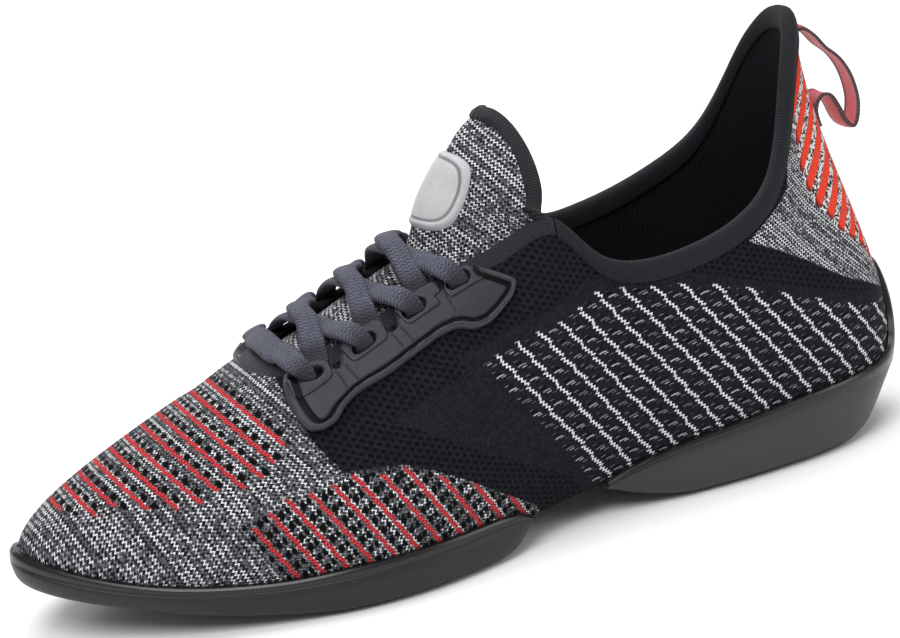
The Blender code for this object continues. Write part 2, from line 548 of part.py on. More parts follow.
def build_eyestay(name, inner):
    us, vs = np.linspace(13, 83, 22), np.linspace(-1, 27, 10)
    g = np.stack(np.meshgrid(us, vs, indexing="ij"), -1)
    low = np.concatenate([g, np.full(g.shape[:2] + (1,), 0.45)], 2)
    high = low.copy()
    high[:, :, 2] = 0.45 + PLATE
    slab = make(name, *plate_between(high, low), (0.03, 0.03, 0.035), 0.45)
    keep = prism("keep", PLATE_LOW + PLATE_HIGH, -2, 6)
    cutters = [keep]
    mod = slab.modifiers.new("outline", "BOOLEAN")
    mod.operation, mod.object, mod.solver = "INTERSECT", keep, "EXACT"
    for k, (u, v) in enumerate(EYELETS):
        ring = [(u + (SLOT_U - SLOT_V) / 2 * (1 if math.cos(a) > 0 else -1) + SLOT_V / 2 * math.cos(a), v + SLOT_V / 2 * math.sin(a)) for a in np.arange(12) * math.tau / 12 + 0.26]
        slot = prism("slot%d" % k, ring, -1, 5)
        cutters.append(slot)
        mod = slab.modifiers.new("slot%d" % k, "BOOLEAN")
        mod.operation, mod.object, mod.solver = "DIFFERENCE", slot, "EXACT"
    flat = bpy.data.meshes.new_from_object(slab.evaluated_get(bpy.context.evaluated_depsgraph_get()))
    co = np.array([v.co for v in flat.vertices]) / MM
    faces = [tuple(f.vertices) for f in flat.polygons]
    for obj in [slab] + cutters:
        bpy.data.objects.remove(obj, do_unlink=True)
    bm = bmesh.new()
    bm.from_mesh(flat)
    bmesh.ops.triangulate(bm, faces=bm.faces)
    bmesh.ops.dissolve_degenerate(bm, edges=bm.edges, dist=1e-5)
    co = np.array([v.co for v in bm.verts]) / MM
    bm.verts.index_update()
    faces = [tuple(v.index for v in f.verts) for f in bm.faces]
    bm.free()
    return make(name, wrap(co[:, 0], co[:, 1], co[:, 2], inner), faces, (0.03, 0.03, 0.035), 0.45)


# ---------------------------------------------------------------- laces
CLEAR = 0.45 + PLATE + 1.1 + LACE_T / 2      # middle of a lace lying over a plate
# crossings, front to back: x of the crossing, z of the upper strand's top
CROSSINGS = ((-39.0, 71.8), (-24.4, 78.0), (-11.4, 84.2))


def strand(start, end, from_inner, crown, lift):
    """Lace from under one plate's edge, over the middle, to the eyelet of the other plate."""
    a = wrap([start[0]] * 3, [-0.2, -1.4, -3.0], [1.5, 1.9, 2.6], from_inner)
    b = wrap([end[0] + 0.6] * 3, [-1.5, 1.5, end[1] - 0.6], [CLEAR - 0.6, CLEAR - 0.1, CLEAR], not from_inner)
    mid = np.array([crown[0], 0.0, crown[1] + lift - LACE_T / 2])
    side = -1 if not from_inner else 1
    shoulder_a = mid * np.array([1, 0, 1]) + np.array([(a[2][0] - mid[0]) * 0.45, side * 7.0, -1.1])
    shoulder_b = mid * np.array([1, 0, 1]) + np.array([(b[0][0] - mid[0]) * 0.45, -side * 7.0, -1.1])
    path = through([a[0], a[2], shoulder_a, mid, shoulder_b, b[0], b[2]], 3)
    axis = np.stack([np.interp(path[:, 0], (-55, 5), (-55, 5)), 0 * path[:, 0], np.interp(path[:, 0], (-55, 5), (44, 60))], 1)
    return path, path - axis


def build_laces():
    u, v = EYELETS[0]
    o = wrap([u] * 3, [v, 2.4, -2.0], [CLEAR, CLEAR, CLEAR - 1.3], False)
    i = wrap([u] * 3, [v, 2.4, -2.0], [CLEAR, CLEAR, CLEAR - 1.3], True)
    crown = np.array([-50.0, 0.0, 66.4 - LACE_T / 2])
    path = through([o[0], o[1], o[2] * [1, 0.85, 1], crown, i[2] * [1, 0.85, 1], i[1], i[0]], 3)
    make("lace_bar", *strap(path, path - np.array([-48.0, 0.0, 42.0]), LACE_W, LACE_T), GREY_LACE, 0.85)
    for k, crown in enumerate(CROSSINGS):
        start = (EYELETS[k][0] - 7.4, 2.0)
        low_path, low_up = strand(start, EYELETS[k + 1], True, crown, -LACE_T + 0.35)
        high_path, high_up = strand(start, EYELETS[k + 1], False, crown, 0.0)
        under = make("under", *strap(low_path, low_up, LACE_W, LACE_T), GREY_LACE, 0.85)
        over = make("lace_cross_%d" % (k + 1), *strap(high_path, high_up, LACE_W, LACE_T), GREY_LACE, 0.85)
        mod = over.modifiers.new("joined", "BOOLEAN")
        mod.operation, mod.object, mod.solver = "UNION", under, "EXACT"
        joined = bpy.data.meshes.new_from_object(over.evaluated_get(bpy.context.evaluated_depsgraph_get()))
        over.modifiers.clear()
        over.data = joined
        bpy.data.objects.remove(under, do_unlink=True)


# ---------------------------------------------------------------- heel pull
def build_heel_pull():
    line = ((116.2, 113.6), (118.4, 110.4), (121.0, 106.8), (125.0, 102.6), (127.8, 97.0), (129.0, 90.0), (128.0, 84.4), (126.2, 82.6), (124.2, 84.8), (122.6, 89.0), (120.8, 92.6), (118.8, 93.4), (117.7, 90.6), (117.9, 87.0))
    path = np.array([(x, 0.0, z) for x, z in through(line, 2)])
    along = np.gradient(path, axis=0)
    ups = np.cross(along, [0, 1, 0])
    return make("heel_pull", *strap(path, ups, RIBBON_W, RIBBON_T, 0.3), RED, 0.7)


build_upper()
build_bottom_board()
build_insole()
build_fore_sole()
build_heel_sole()
build_collar_binding()
build_throat_band()
build_tongue()
build_eyestay("eyestay_outer", False)
build_eyestay("eyestay_inner", True)
build_laces()
build_heel_pull()

for obj in bpy.context.scene.objects:
    obj.data.transform(Matrix.Translation((-CENTRE[0] * MM, -CENTRE[1] * MM, 0.0)))
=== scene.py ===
"""Looks of the knit dance sneaker: every visible surface as a finished piece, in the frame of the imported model.
Lengths are millimetres in the shoe's own frame until a mesh is made; make_piece moves them to the shared frame."""

import json
import math

import bmesh
import bpy
import numpy as np
from mathutils import Matrix, Vector

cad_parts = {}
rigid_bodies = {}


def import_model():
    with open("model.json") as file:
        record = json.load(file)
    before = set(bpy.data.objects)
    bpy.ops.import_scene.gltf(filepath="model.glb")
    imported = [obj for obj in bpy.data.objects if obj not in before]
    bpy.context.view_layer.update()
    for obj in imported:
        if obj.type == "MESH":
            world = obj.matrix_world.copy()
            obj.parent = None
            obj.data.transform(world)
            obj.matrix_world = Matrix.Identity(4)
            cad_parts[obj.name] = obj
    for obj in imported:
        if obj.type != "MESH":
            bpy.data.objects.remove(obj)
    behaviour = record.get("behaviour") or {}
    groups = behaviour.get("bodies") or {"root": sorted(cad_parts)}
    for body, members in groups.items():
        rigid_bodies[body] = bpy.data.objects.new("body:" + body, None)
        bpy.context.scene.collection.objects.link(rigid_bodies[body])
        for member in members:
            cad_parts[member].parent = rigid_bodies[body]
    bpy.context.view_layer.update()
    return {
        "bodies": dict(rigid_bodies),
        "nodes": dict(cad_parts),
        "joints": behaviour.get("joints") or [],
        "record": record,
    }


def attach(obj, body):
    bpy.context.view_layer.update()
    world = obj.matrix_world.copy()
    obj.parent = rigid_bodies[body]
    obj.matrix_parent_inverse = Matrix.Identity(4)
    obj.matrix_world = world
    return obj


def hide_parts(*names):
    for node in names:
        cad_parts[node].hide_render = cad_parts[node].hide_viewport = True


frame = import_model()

# ---------------------------------------------------------------- named sizes, in millimetres
MM = 0.001
GAP = 0.35            # air left between two pieces that touch
CENTRE = (1.317, 0.696)   # middle of the finished shoe's box; the last step puts it on the axis
WALL_TOE = 2.0        # knit and lining at the forefoot
WALL_HEEL = 2.8       # knit, foam and lining round the heel
BIND_WIDTH = 6.0      # collar edging, measured down the wall
THROAT_WIDTH = 5.0    # folded band along the throat
BIND_PROUD = 0.7      # edging stands this far proud of the wall, each side
RIM_WALL = 1.8        # rubber wall of the cup soles
BOARD = 1.8           # bottom board
INSOLE = 3.6          # footbed at its middle
PLATE = 1.5           # moulded lace plates
TONGUE = 2.6          # tongue wall
LACE_W, LACE_T = 6.4, 2.0
RIBBON_W, RIBBON_T = 9.0, 0.9

# Sections of the upper, heel to toe. foot: x, y outer, y inner, z; lean and reach of the wall as it leaves the foot
# line; top: x, y outer, y inner, z outer, z inner; lean and reach of the wall as it leaves the opening line.
SECTIONS = (
    # x_f,  yf_o,  yf_i,  z_f,  lean_f, len_f,  x_t,   yt_o,  yt_i,  zt_o,  zt_i, lean_t, len_t
    (125.5,   0.0,  0.0, 14.0,  27.0, 27.0,  112.5,   0.0,  0.0, 120.0, 120.0,  -3.0, 42.0),
    (122.5, -10.0, 10.0, 14.0,  26.0, 26.0,  111.0,  -7.5,  7.5, 118.3, 118.5,  -2.0, 40.0),
    (116.5, -17.5, 17.5, 14.0,  25.0, 24.0,  106.5, -13.5, 13.5, 111.5, 112.5,   0.0, 36.0),
    (108.0, -22.5, 22.5, 13.8,  24.0, 22.0,  101.5, -18.0, 18.0, 101.0, 103.5,   2.0, 32.0),
    ( 98.0, -25.5, 25.5, 13.5,  23.0, 20.0,   96.0, -22.0, 22.0,  89.0,  93.5,   4.0, 27.0),
    ( 87.0, -27.0, 27.0, 13.0,  22.0, 19.0,   88.5, -25.5, 25.5,  78.5,  84.5,   4.0, 22.0),
    ( 76.0, -27.8, 27.3, 12.5,  22.0, 18.0,   77.5, -27.5, 27.5,  72.0,  78.5,   3.0, 20.0),
    ( 63.0, -27.8, 26.5, 12.0,  23.0, 18.0,   64.0, -28.0, 28.0,  68.5,  74.3,   3.0, 20.0),
    ( 50.0, -27.0, 25.0, 11.3,  25.0, 19.0,   50.5, -27.0, 26.5,  67.5,  72.5,   5.0, 20.0),
    ( 37.0, -26.3, 23.2, 10.3,  28.0, 21.0,   38.5, -23.5, 23.0,  71.5,  74.5,  14.0, 20.0),
    ( 24.0, -27.0, 22.3,  9.2,  30.0, 25.0,   29.0, -18.0, 17.5,  83.0,  83.5,  32.0, 22.0),
    (  8.0, -30.5, 23.0,  8.2,  26.0, 27.0,   14.5, -16.2, 15.7,  80.0,  80.3,  45.0, 22.0),
    ( -9.0, -36.0, 27.0,  7.6,  22.0, 26.0,    0.5, -15.6, 15.2,  76.3,  76.7,  50.0, 22.0),
    (-27.0, -40.5, 33.5,  7.3,  20.0, 24.0,  -14.0, -15.8, 15.5,  71.8,  72.3,  52.0, 22.0),
    (-47.0, -40.5, 40.0,  7.5,  18.0, 22.0,  -28.0, -16.3, 16.0,  66.8,  67.3,  53.0, 22.0),
    (-69.0, -34.5, 43.0,  8.3,  17.0, 20.0,  -39.0, -16.0, 16.0,  63.0,  63.3,  56.0, 23.0),
    (-90.0, -25.5, 38.5, 10.8,  17.0, 20.0,  -46.8, -13.2, 13.2,  61.6,  61.7,  61.0, 28.0),
    (-110.0,-11.5, 26.0, 14.2,  19.0, 19.0,  -51.0,  -7.5,  7.5,  61.4,  61.4,  65.0, 39.0),
    (-124.3,  7.0,  7.0, 18.5,  22.0, 17.0,  -52.6,   0.0,  0.0,  61.5,  61.5,  66.5, 44.0),
)
CORNER = 10           # the row where collar and throat meet
ROUND = 10            # steps up the wall


# ---------------------------------------------------------------- curves
def periodic_spline(knots, values, at):
    """Cubic spline through values at knots, closed on itself; knots has one entry more than values."""
    n = len(values)
    h = np.diff(knots)
    a = np.zeros((n, n))
    r = np.zeros((n, values.shape[1]))
    for i in range(n):
        hp, hn = h[i - 1], h[i]
        a[i, i - 1] += hp
        a[i, i] += 2 * (hp + hn)
        a[i, (i + 1) % n] += hn
        r[i] = 6 * ((values[(i + 1) % n] - values[i]) / hn - (values[i] - values[i - 1]) / hp)
    m = np.linalg.solve(a, r)
    k = np.clip(np.searchsorted(knots, at, side="right") - 1, 0, n - 1)
    hk = h[k][:, None]
    u = (at - knots[k])[:, None]
    v0, v1, m0, m1 = values[k], values[(k + 1) % n], m[k], m[(k + 1) % n]
    return v0 + u * ((v1 - v0) / hk - hk * (2 * m0 + m1) / 6) + u**2 * m0 / 2 + u**3 * (m1 - m0) / (6 * hk)


def ring_columns():
    """The rows of SECTIONS as one closed ring: outer side heel to toe, then inner side toe to heel."""
    t = np.array(SECTIONS, float)
    outer = t[:, [0, 1, 3, 4, 5, 6, 7, 9, 11, 12]]
    inner = t[:, [0, 2, 3, 4, 5, 6, 8, 10, 11, 12]][1:-1][::-1]
    return np.concatenate([outer, inner])


COLS = ring_columns()
ROWS = len(SECTIONS) - 1          # row number of the toe; the ring has 2 * ROWS rows
_foot, _top = COLS[:, [0, 1, 2]], COLS[:, [5, 6, 7]]
_step = 0.5 * np.linalg.norm(np.roll(_foot, -1, 0) - _foot, axis=1) + 0.5 * np.linalg.norm(np.roll(_top, -1, 0) - _top, axis=1)
KNOTS = np.concatenate([[0.0], np.cumsum(_step)])


def ring_at(rows):
    """COLS at fractional row numbers, 0 at the heel, ROWS at the toe, 2 * ROWS back at the heel."""
    rows = np.mod(np.atleast_1d(np.asarray(rows, float)), 2 * ROWS)
    t = np.interp(rows, np.arange(2 * ROWS + 1), KNOTS)
    return periodic_spline(KNOTS, COLS, t)


def plan_normal(rows, cols):
    """Outward normal, in plan, of the foot line (cols 0, 1) or opening line (cols 5, 6)."""
    e = 0.02
    d = ring_at(np.asarray(rows) + e)[:, cols] - ring_at(np.asarray(rows) - e)[:, cols]
    n = np.stack([-d[:, 1], d[:, 0]], 1)
    return n / np.linalg.norm(n, axis=1)[:, None]


def meridians(rows, steps=64):
    """For each row number, the wall's curve from foot to opening as steps + 1 points, and lengths along it."""
    c = ring_at(rows)
    nf = plan_normal(rows, [0, 1])
    nt = plan_normal(rows, [5, 6])
    p0, p3 = c[:, [0, 1, 2]], c[:, [5, 6, 7]]
    lf, lt = np.radians(c[:, 3]), np.radians(c[:, 8])
    t0 = np.concatenate([nf * np.sin(lf)[:, None], np.cos(lf)[:, None]], 1)
    t1 = np.concatenate([nt * np.sin(lt)[:, None], -np.cos(lt)[:, None]], 1)
    p1, p2 = p0 + t0 * c[:, [4]], p3 + t1 * c[:, [9]]
    v = np.linspace(0, 1, steps + 1)[None, :, None]
    pts = ((1 - v) ** 3 * p0[:, None] + 3 * (1 - v) ** 2 * v * p1[:, None] + 3 * (1 - v) * v**2 * p2[:, None] + v**3 * p3[:, None])
    s = np.concatenate([np.zeros((len(p0), 1)), np.cumsum(np.linalg.norm(np.diff(pts, axis=1), axis=2), 1)], 1)
    return pts, s


def wall(rows, s_from_top=None, s_from_foot=None, share=None):
    """Points of the wall's outer surface, one row of points for each row number. The place up the wall is a length
    below the opening, a length above the foot line, or a share of the whole; below zero runs on straight."""
    pts, s = meridians(rows)
    out = []
    for i in range(len(pts)):
        total = s[i, -1]
        if s_from_top is not None:
            want = total - np.atleast_1d(s_from_top[i] if np.ndim(s_from_top) > 1 else s_from_top)
        elif s_from_foot is not None:
            want = np.atleast_1d(s_from_foot[i] if np.ndim(s_from_foot) > 1 else s_from_foot)
        else:
            want = total * np.atleast_1d(share)
        p = np.stack([np.interp(want, s[i], pts[i, :, k]) for k in range(3)], 1)
        over, under = want - total, -want
        t_top = (pts[i, -1] - pts[i, -2]) / np.linalg.norm(pts[i, -1] - pts[i, -2])
        t_bot = (pts[i, 0] - pts[i, 1]) / np.linalg.norm(pts[i, 0] - pts[i, 1])
        p += np.clip(over, 0, None)[:, None] * t_top + np.clip(under, 0, None)[:, None] * t_bot
        out.append(p)
    return np.array(out)


def grid_normals(g, closed):
    """Outward normals of a grid of points (around, up)."""
    if closed:
        du = np.roll(g, -1, 0) - np.roll(g, 1, 0)
    else:
        du = np.gradient(g, axis=0)
    dv = np.gradient(g, axis=1)
    n = np.cross(dv, du)
    n /= np.linalg.norm(n, axis=2)[:, :, None] + 1e-12
    return n


def wall_normals(rows, lengths):
    """Outward normals at lengths below the opening, one set of lengths for each row."""
    e = 0.03
    a = wall(np.asarray(rows) + e, s_from_top=lengths)
    b = wall(np.asarray(rows) - e, s_from_top=lengths)
    up = wall(rows, s_from_top=np.asarray(lengths) - 0.3) - wall(rows, s_from_top=np.asarray(lengths) + 0.3)
    n = np.cross(up, a - b)
    return n / (np.linalg.norm(n, axis=2)[:, :, None] + 1e-12)


def wall_thickness(rows):
    """Thick round the heel, thin at the forefoot."""
    r = np.abs(np.mod(np.asarray(rows, float) + ROWS, 2 * ROWS) - ROWS)
    return WALL_TOE + (WALL_HEEL - WALL_TOE) * (1 - np.clip((r - 7) / 5, 0, 1))


def loops_solid(loops, closed_around, closed_section=True):
    """A solid from grid loops[around][section]: the section is a closed polygon swept round, capped if not closed."""
    g = np.asarray(loops, float)
    nu, nv = g.shape[:2]
    verts = g.reshape(-1, 3)
    faces = []
    for i in range(nu if closed_around else nu - 1):
        for j in range(nv if closed_section else nv - 1):
            a, b = i * nv + j, ((i + 1) % nu) * nv + j
            c, d = ((i + 1) % nu) * nv + (j + 1) % nv, i * nv + (j + 1) % nv
            faces.append((a, b, c, d))
    if not closed_around:
        faces.append(tuple(range(nv)))
        faces.append(tuple((nu - 1) * nv + j for j in reversed(range(nv))))
    return verts, faces


def plate_between(top, bottom):
    """Closed solid between two grids of equal shape (rows, across), with side walls."""
    top, bottom = np.asarray(top, float), np.asarray(bottom, float)
    nr, nc = top.shape[:2]
    verts = np.concatenate([top.reshape(-1, 3), bottom.reshape(-1, 3)])
    off = nr * nc
    faces = []
    for i in range(nr - 1):
        for j in range(nc - 1):
            a, b, c, d = i * nc + j, (i + 1) * nc + j, (i + 1) * nc + j + 1, i * nc + j + 1
            faces.append((a, b, c, d))
            faces.append((off + d, off + c, off + b, off + a))
    for i in range(nr - 1):
        for j in (0, nc - 1):
            a, b = i * nc + j, (i + 1) * nc + j
            faces.append((a, off + a, off + b, b) if j == 0 else (b, off + b, off + a, a))
    for j in range(nc - 1):
        for i in (0, nr - 1):
            a, b = i * nc + j, i * nc + j + 1
            faces.append((b, off + b, off + a, a) if i == 0 else (a, off + a, off + b, b))
    return verts, faces


# ---------------------------------------------------------------- where the pieces are cut
SIDE = sorted({1 / 6, 0.5, 5 / 6, *(k / 3 for k in range(13)), *(4 + k / 2 for k in range(19)), *(13 + k / 3 for k in range(16))})


def between(first, last):
    """Row numbers from first to last, ends kept, at the ring's own stations between; last may pass the toe."""
    ring = np.array(SIDE + [2 * ROWS - r for r in SIDE[-2::-1]] + [2 * ROWS + r for r in SIDE[1:]])
    ring = np.concatenate([ring - 2 * ROWS, ring])
    ring = np.unique(np.round(ring, 6))
    inside = ring[(ring > first + 0.12) & (ring < last - 0.12)]
    return np.concatenate([[first], inside, [last]])


def on_wall(rows, lengths, lift):
    """Points lifted off the wall's outer surface; lengths below the opening and lifts are (rows, n) or (n,)."""
    rows = np.asarray(rows, float)
    lengths = np.broadcast_to(np.asarray(lengths, float), (len(rows), np.shape(lengths)[-1]))
    lift = np.broadcast_to(np.asarray(lift, float), lengths.shape)
    return wall(rows, s_from_top=lengths) + wall_normals(rows, lengths) * lift[:, :, None]


def table(at, pairs):
    """Smooth look-up in a short table of (place, value) pairs."""
    x, y = np.array(pairs, float).T
    h = np.diff(x)
    d = np.diff(y) / h
    m = np.zeros_like(y)
    m[0], m[-1] = d[0], d[-1]
    for i in range(1, len(y) - 1):
        m[i] = 0.0 if d[i - 1] * d[i] <= 0 else 2 * d[i - 1] * d[i] / (d[i - 1] + d[i])
    at = np.clip(np.asarray(at, float), x[0], x[-1])
    k = np.clip(np.searchsorted(x, at, side="right") - 1, 0, len(h) - 1)
    t = (at - x[k]) / h[k]
    return ((2 * t**3 - 3 * t**2 + 1) * y[k] + (t**3 - 2 * t**2 + t) * h[k] * m[k]
            + (3 * t**2 - 2 * t**3) * y[k + 1] + (t**3 - t**2) * h[k] * m[k + 1])


def foot_edge(rows, inset):
    """The foot line brought in, in plan, by the wall's thickness there and a little more."""
    c = ring_at(rows)
    n = plan_normal(rows, [0, 1])
    t = wall_thickness(rows) * np.cos(np.radians(c[:, 3]))
    return np.concatenate([c[:, :2] - n * (t + inset)[:, None], c[:, [2]]], 1)


def ladder(rows, edge, across):
    """Rungs between the outer and inner side of the shoe: edge(rows) gives points on the ring."""
    outer, inner = edge(rows), edge(2 * ROWS - rows)
    v = np.linspace(0, 1, across + 1)[None, :, None]
    return outer[:, None] * (1 - v) + inner[:, None] * v


RIM_HEEL = ((0, 29.0), (0.17, 28.0), (0.33, 24.5), (0.5, 19.0), (0.67, 13.5), (1.0, 8.6), (1.33, 7.0), (2, 6.4), (3, 6.3), (5, 6.3), (7, 5.2), (8, 4.4), (9, 2.8), (9.65, 1.3))
RIM_FORE = ((11.26, 1.6), (11.5, 3.6), (12, 4.9), (13, 5.4), (14, 5.0), (15, 3.9), (16, 3.4), (17, 4.4), (18, 6.2))
BOTTOM = ((-132, 16.5), (-120, 12.6), (-112, 10.3), (-98, 7.4), (-88, 5.2), (-73, 2.6), (-60, 0.8), (-50, 0.0), (-9, 0.0), (-4, 0.4), (0, 1.5), (4, 3.6), (26, 8.0), (30, 7.0), (34, 5.3), (40, 3.1), (44, 1.9), (50, 0.5), (56, 0.0), (101, 0.0), (110, 1.2), (118, 3.6), (134, 10.0))
TUCK_FORE = ((11.26, 3.0), (11.5, 1.2), (11.8, 0.2), (12, 0.0), (18, 0.0))
TUCK_HEEL = ((0, 7.0), (1, 6.5), (2, 4.4), (3.5, 1.4), (5, 0.0), (9, 0.0), (9.65, 1.5))


def sole_side(rows, rim, tuck):
    """One side of a cup sole: for each row, points from the platform up the inside of the rim, over it and down."""
    near = np.abs(np.mod(rows + ROWS, 2 * ROWS) - ROWS)
    height, back = table(near, rim), table(near, tuck)
    pts, s = meridians(rows)
    total = s[:, -1]
    z_foot = pts[:, 0, 2]
    reach = np.array([np.interp(z_foot[i] + height[i], pts[i, :, 2], s[i]) for i in range(len(rows))])
    up = np.array([0.25, 0.5, 0.75, 1.0])[None, :] * reach[:, None]
    inside = on_wall(rows, total[:, None] - up, GAP)
    low = 0.55 * np.minimum(reach, 6.0)
    down = np.stack([reach, 0.85 * reach, 0.5 * (0.85 * reach + low), low], 1)
    lip = on_wall(rows, total[:, None] - down, np.array([[GAP + 1.2, GAP + RIM_WALL, GAP + 1.9, GAP + 1.95]]))
    foot, n = pts[:, 0], plan_normal(rows, [0, 1])
    n3 = np.concatenate([n, np.zeros((len(n), 1))], 1)
    corner = foot + n3 * GAP
    corner[:, 2] = z_foot - GAP
    floor_z = table(foot[:, 0], BOTTOM)
    low_s = on_wall(rows, total[:, None] - np.minimum(reach, 6.0)[:, None] * 0.85, GAP + RIM_WALL)[:, 0]
    out = np.sum((low_s - foot)[:, :2] * n, 1)
    top_z = np.minimum(low_s[:, 2], z_foot + 5.0)
    side = []
    for share, push, cut in ((0.66, 0.35, 0.4), (0.34, -0.2, 0.8), (0.12, -1.5, 1.0), (0.0, -4.2, 1.0)):
        p = foot + n3 * (out + push - back * cut)[:, None]
        p[:, 2] = floor_z + (top_z - floor_z) * share if share else table(p[:, 0], BOTTOM)
        side.append(p)
    return np.concatenate([corner[:, None], inside, lip, np.stack(side, 1)], 1)


def sweep_halves(a, b, across, cap_first, cap_last):
    """Solid from two sides, each (rows, n): a from its platform to its bottom, b likewise, joined by rungs."""
    rungs = []
    v = np.linspace(0, 1, across + 1)[1:-1, None]
    for p, q in zip(a, b):
        low = p[-1] * (1 - v) + q[-1] * v
        low[:, 2] = table(low[:, 0], BOTTOM)
        high = q[0] * (1 - v) + p[0] * v
        rungs.append(np.concatenate([p, low, q[::-1], high]))
    rungs = np.array(rungs)
    nu, nv = rungs.shape[:2]
    faces = [(i * nv + j, (i + 1) * nv + j, (i + 1) * nv + (j + 1) % nv, i * nv + (j + 1) % nv) for i in range(nu - 1) for j in range(nv)]
    if cap_first:
        faces.append(tuple(range(nv)))
    if cap_last:
        faces.append(tuple((nu - 1) * nv + j for j in reversed(range(nv))))
    return rungs.reshape(-1, 3), faces


# ---------------------------------------------------------------- free shapes
def through(points, steps):
    """Smooth curve through points (n, k, ...), with steps between each pair."""
    p = np.asarray(points, float)
    ends = np.concatenate([[2 * p[0] - p[1]], p, [2 * p[-1] - p[-2]]])
    out = []
    for i in range(1, len(ends) - 2):
        for t in np.arange(steps) / steps:
            a, b, c, d = ends[i - 1], ends[i], ends[i + 1], ends[i + 2]
            out.append(0.5 * (2 * b + (c - a) * t + (2 * a - 5 * b + 4 * c - d) * t**2 + (3 * b - a - 3 * c + d) * t**3))
    return np.array(out + [p[-1]])


# the tongue, front to tip: row of the throat its sides run under (0 where it stands free), middle x, z;
# then for the free part the side edge's x, half width, z; reach under the wall for the rest
TONGUE_RUNGS = (
    # row,  x_mid,  z_mid,  x_side, half, z_side, wing
    (16.9, -57.0,  56.8,   0.0,    0.0,   0.0,   7.0),
    (16.2, -50.0,  60.6,   0.0,    0.0,   0.0,   7.5),
    (15.0, -39.0,  64.6,   0.0,    0.0,   0.0,   7.5),
    (14.0, -28.0,  69.4,   0.0,    0.0,   0.0,   7.5),
    (13.0, -16.5,  74.4,   0.0,    0.0,   0.0,   7.0),
    (12.2,  -9.3,  77.6,   0.0,    0.0,   0.0,   6.0),
    (11.6,  -6.2,  81.8,   0.0,    0.0,   0.0,   5.0),
    (11.1,  -3.9,  86.4,   0.0,    0.0,   0.0,   4.0),
    (10.7,  -1.0,  91.0,   0.0,    0.0,   0.0,   3.0),
    (10.35,  2.2,  95.3,   0.0,    0.0,   0.0,   2.2),
    ( 0.0,   5.6,  99.2,  28.0,   12.8,  86.0,   0.0),
    ( 0.0,   9.6, 102.6,  28.4,   12.8,  92.0,   0.0),
    ( 0.0,  12.9, 106.2,  27.8,   11.6,  98.5,   0.0),
    ( 0.0,  16.0, 109.2,  26.4,    9.2, 104.5,   0.0),
    ( 0.0,  18.8, 111.4,  24.4,    6.2, 109.3,   0.0),
    ( 0.0,  20.3, 112.4,  22.2,    2.6, 112.0,   0.0),
)


def tongue_grid(across):
    """The tongue's upper face, rung by rung from the front to the tip."""
    rungs = []
    for row, xm, zm, xs, half, zs, wing in TONGUE_RUNGS:
        mid = np.array([xm, 0.0, zm])
        if row:
            sides = []
            for r in (row, 2 * ROWS - row):
                t = wall_thickness([r])[0]
                pair = on_wall([r, r], np.array([[0.4, wing]] * 2), -(t + 1.0))[0]
                sides.append(pair)
            five = np.array([sides[0][1], sides[0][0], mid, sides[1][0], sides[1][1]])
        else:
            edge = np.array([xs, half, zs])
            near = mid + (edge - mid) * np.array([0.5, 0.78, 0.45])
            flip = np.array([1, -1, 1])
            five = np.array([edge * flip, near * flip, mid, near, edge])
        fine = through(five, 8)
        s = np.concatenate([[0], np.cumsum(np.linalg.norm(np.diff(fine, axis=0), axis=1))])
        at = np.linspace(0, s[-1], across + 1)
        rungs.append(np.stack([np.interp(at, s, fine[:, k]) for k in range(3)], 1))
    return np.array(rungs)


# ---------------------------------------------------------------- lace plates
# outline on the wall: u runs along the throat from the collar corner, v down the wall from the throat's edge
PLATE_LOW = ((15.5, 12.5), (17.5, 15.5), (22, 18.0), (26, 19.7), (30.5, 19.6), (35, 16.8), (40, 16.3), (47.5, 17.0), (55.5, 18.0), (64, 17.8), (67, 20.0), (68, 23.3), (70.5, 24.7), (73, 24.2), (75.5, 20.5), (78.5, 14.5), (80, 10.0))
PLATE_HIGH = ((80.5, 6.0), (78, 3.4), (74, 3.2), (71.3, 4.6), (70, 8.0), (68.3, 8.6), (67.8, 4.0), (66.5, 1.6), (57, 1.2), (54.8, 2.6), (53.6, 7.8), (50.8, 7.6), (50.2, 2.4), (48.5, 1.4), (38, 1.4), (36.6, 2.4), (36.2, 5.2), (35.2, 5.2), (34.6, 2.4), (33, 1.4), (27.5, 1.8), (23.5, 5.2), (18.2, 9.8))
EYELETS = ((76.0, 7.4), (61.0, 6.0), (45.0, 5.6), (31.0, 5.2))     # front to back
SLOT_U, SLOT_V = 7.4, 4.4

_rows = np.linspace(CORNER, ROWS, 161)
_line = wall(_rows, s_from_top=np.array([0.0]))[:, 0]
_arc = np.concatenate([[0], np.cumsum(np.linalg.norm(np.diff(_line, axis=0), axis=1))])


def row_at(u):
    return np.interp(u, _arc, _rows)


def wrap(u, v, h, inner):
    """Points at u, v on the outer or inner side, h off the wall."""
    r = row_at(np.atleast_1d(u))
    r = 2 * ROWS - r if inner else r
    return on_wall(r, np.atleast_1d(v)[:, None], np.atleast_1d(h)[:, None])[:, 0]


CLEAR = 0.45 + PLATE + 1.1 + LACE_T / 2      # middle of a lace lying over a plate
# crossings, front to back: x of the crossing, z of the upper strand's top
CROSSINGS = ((-39.0, 71.8), (-24.4, 78.0), (-11.4, 84.2))


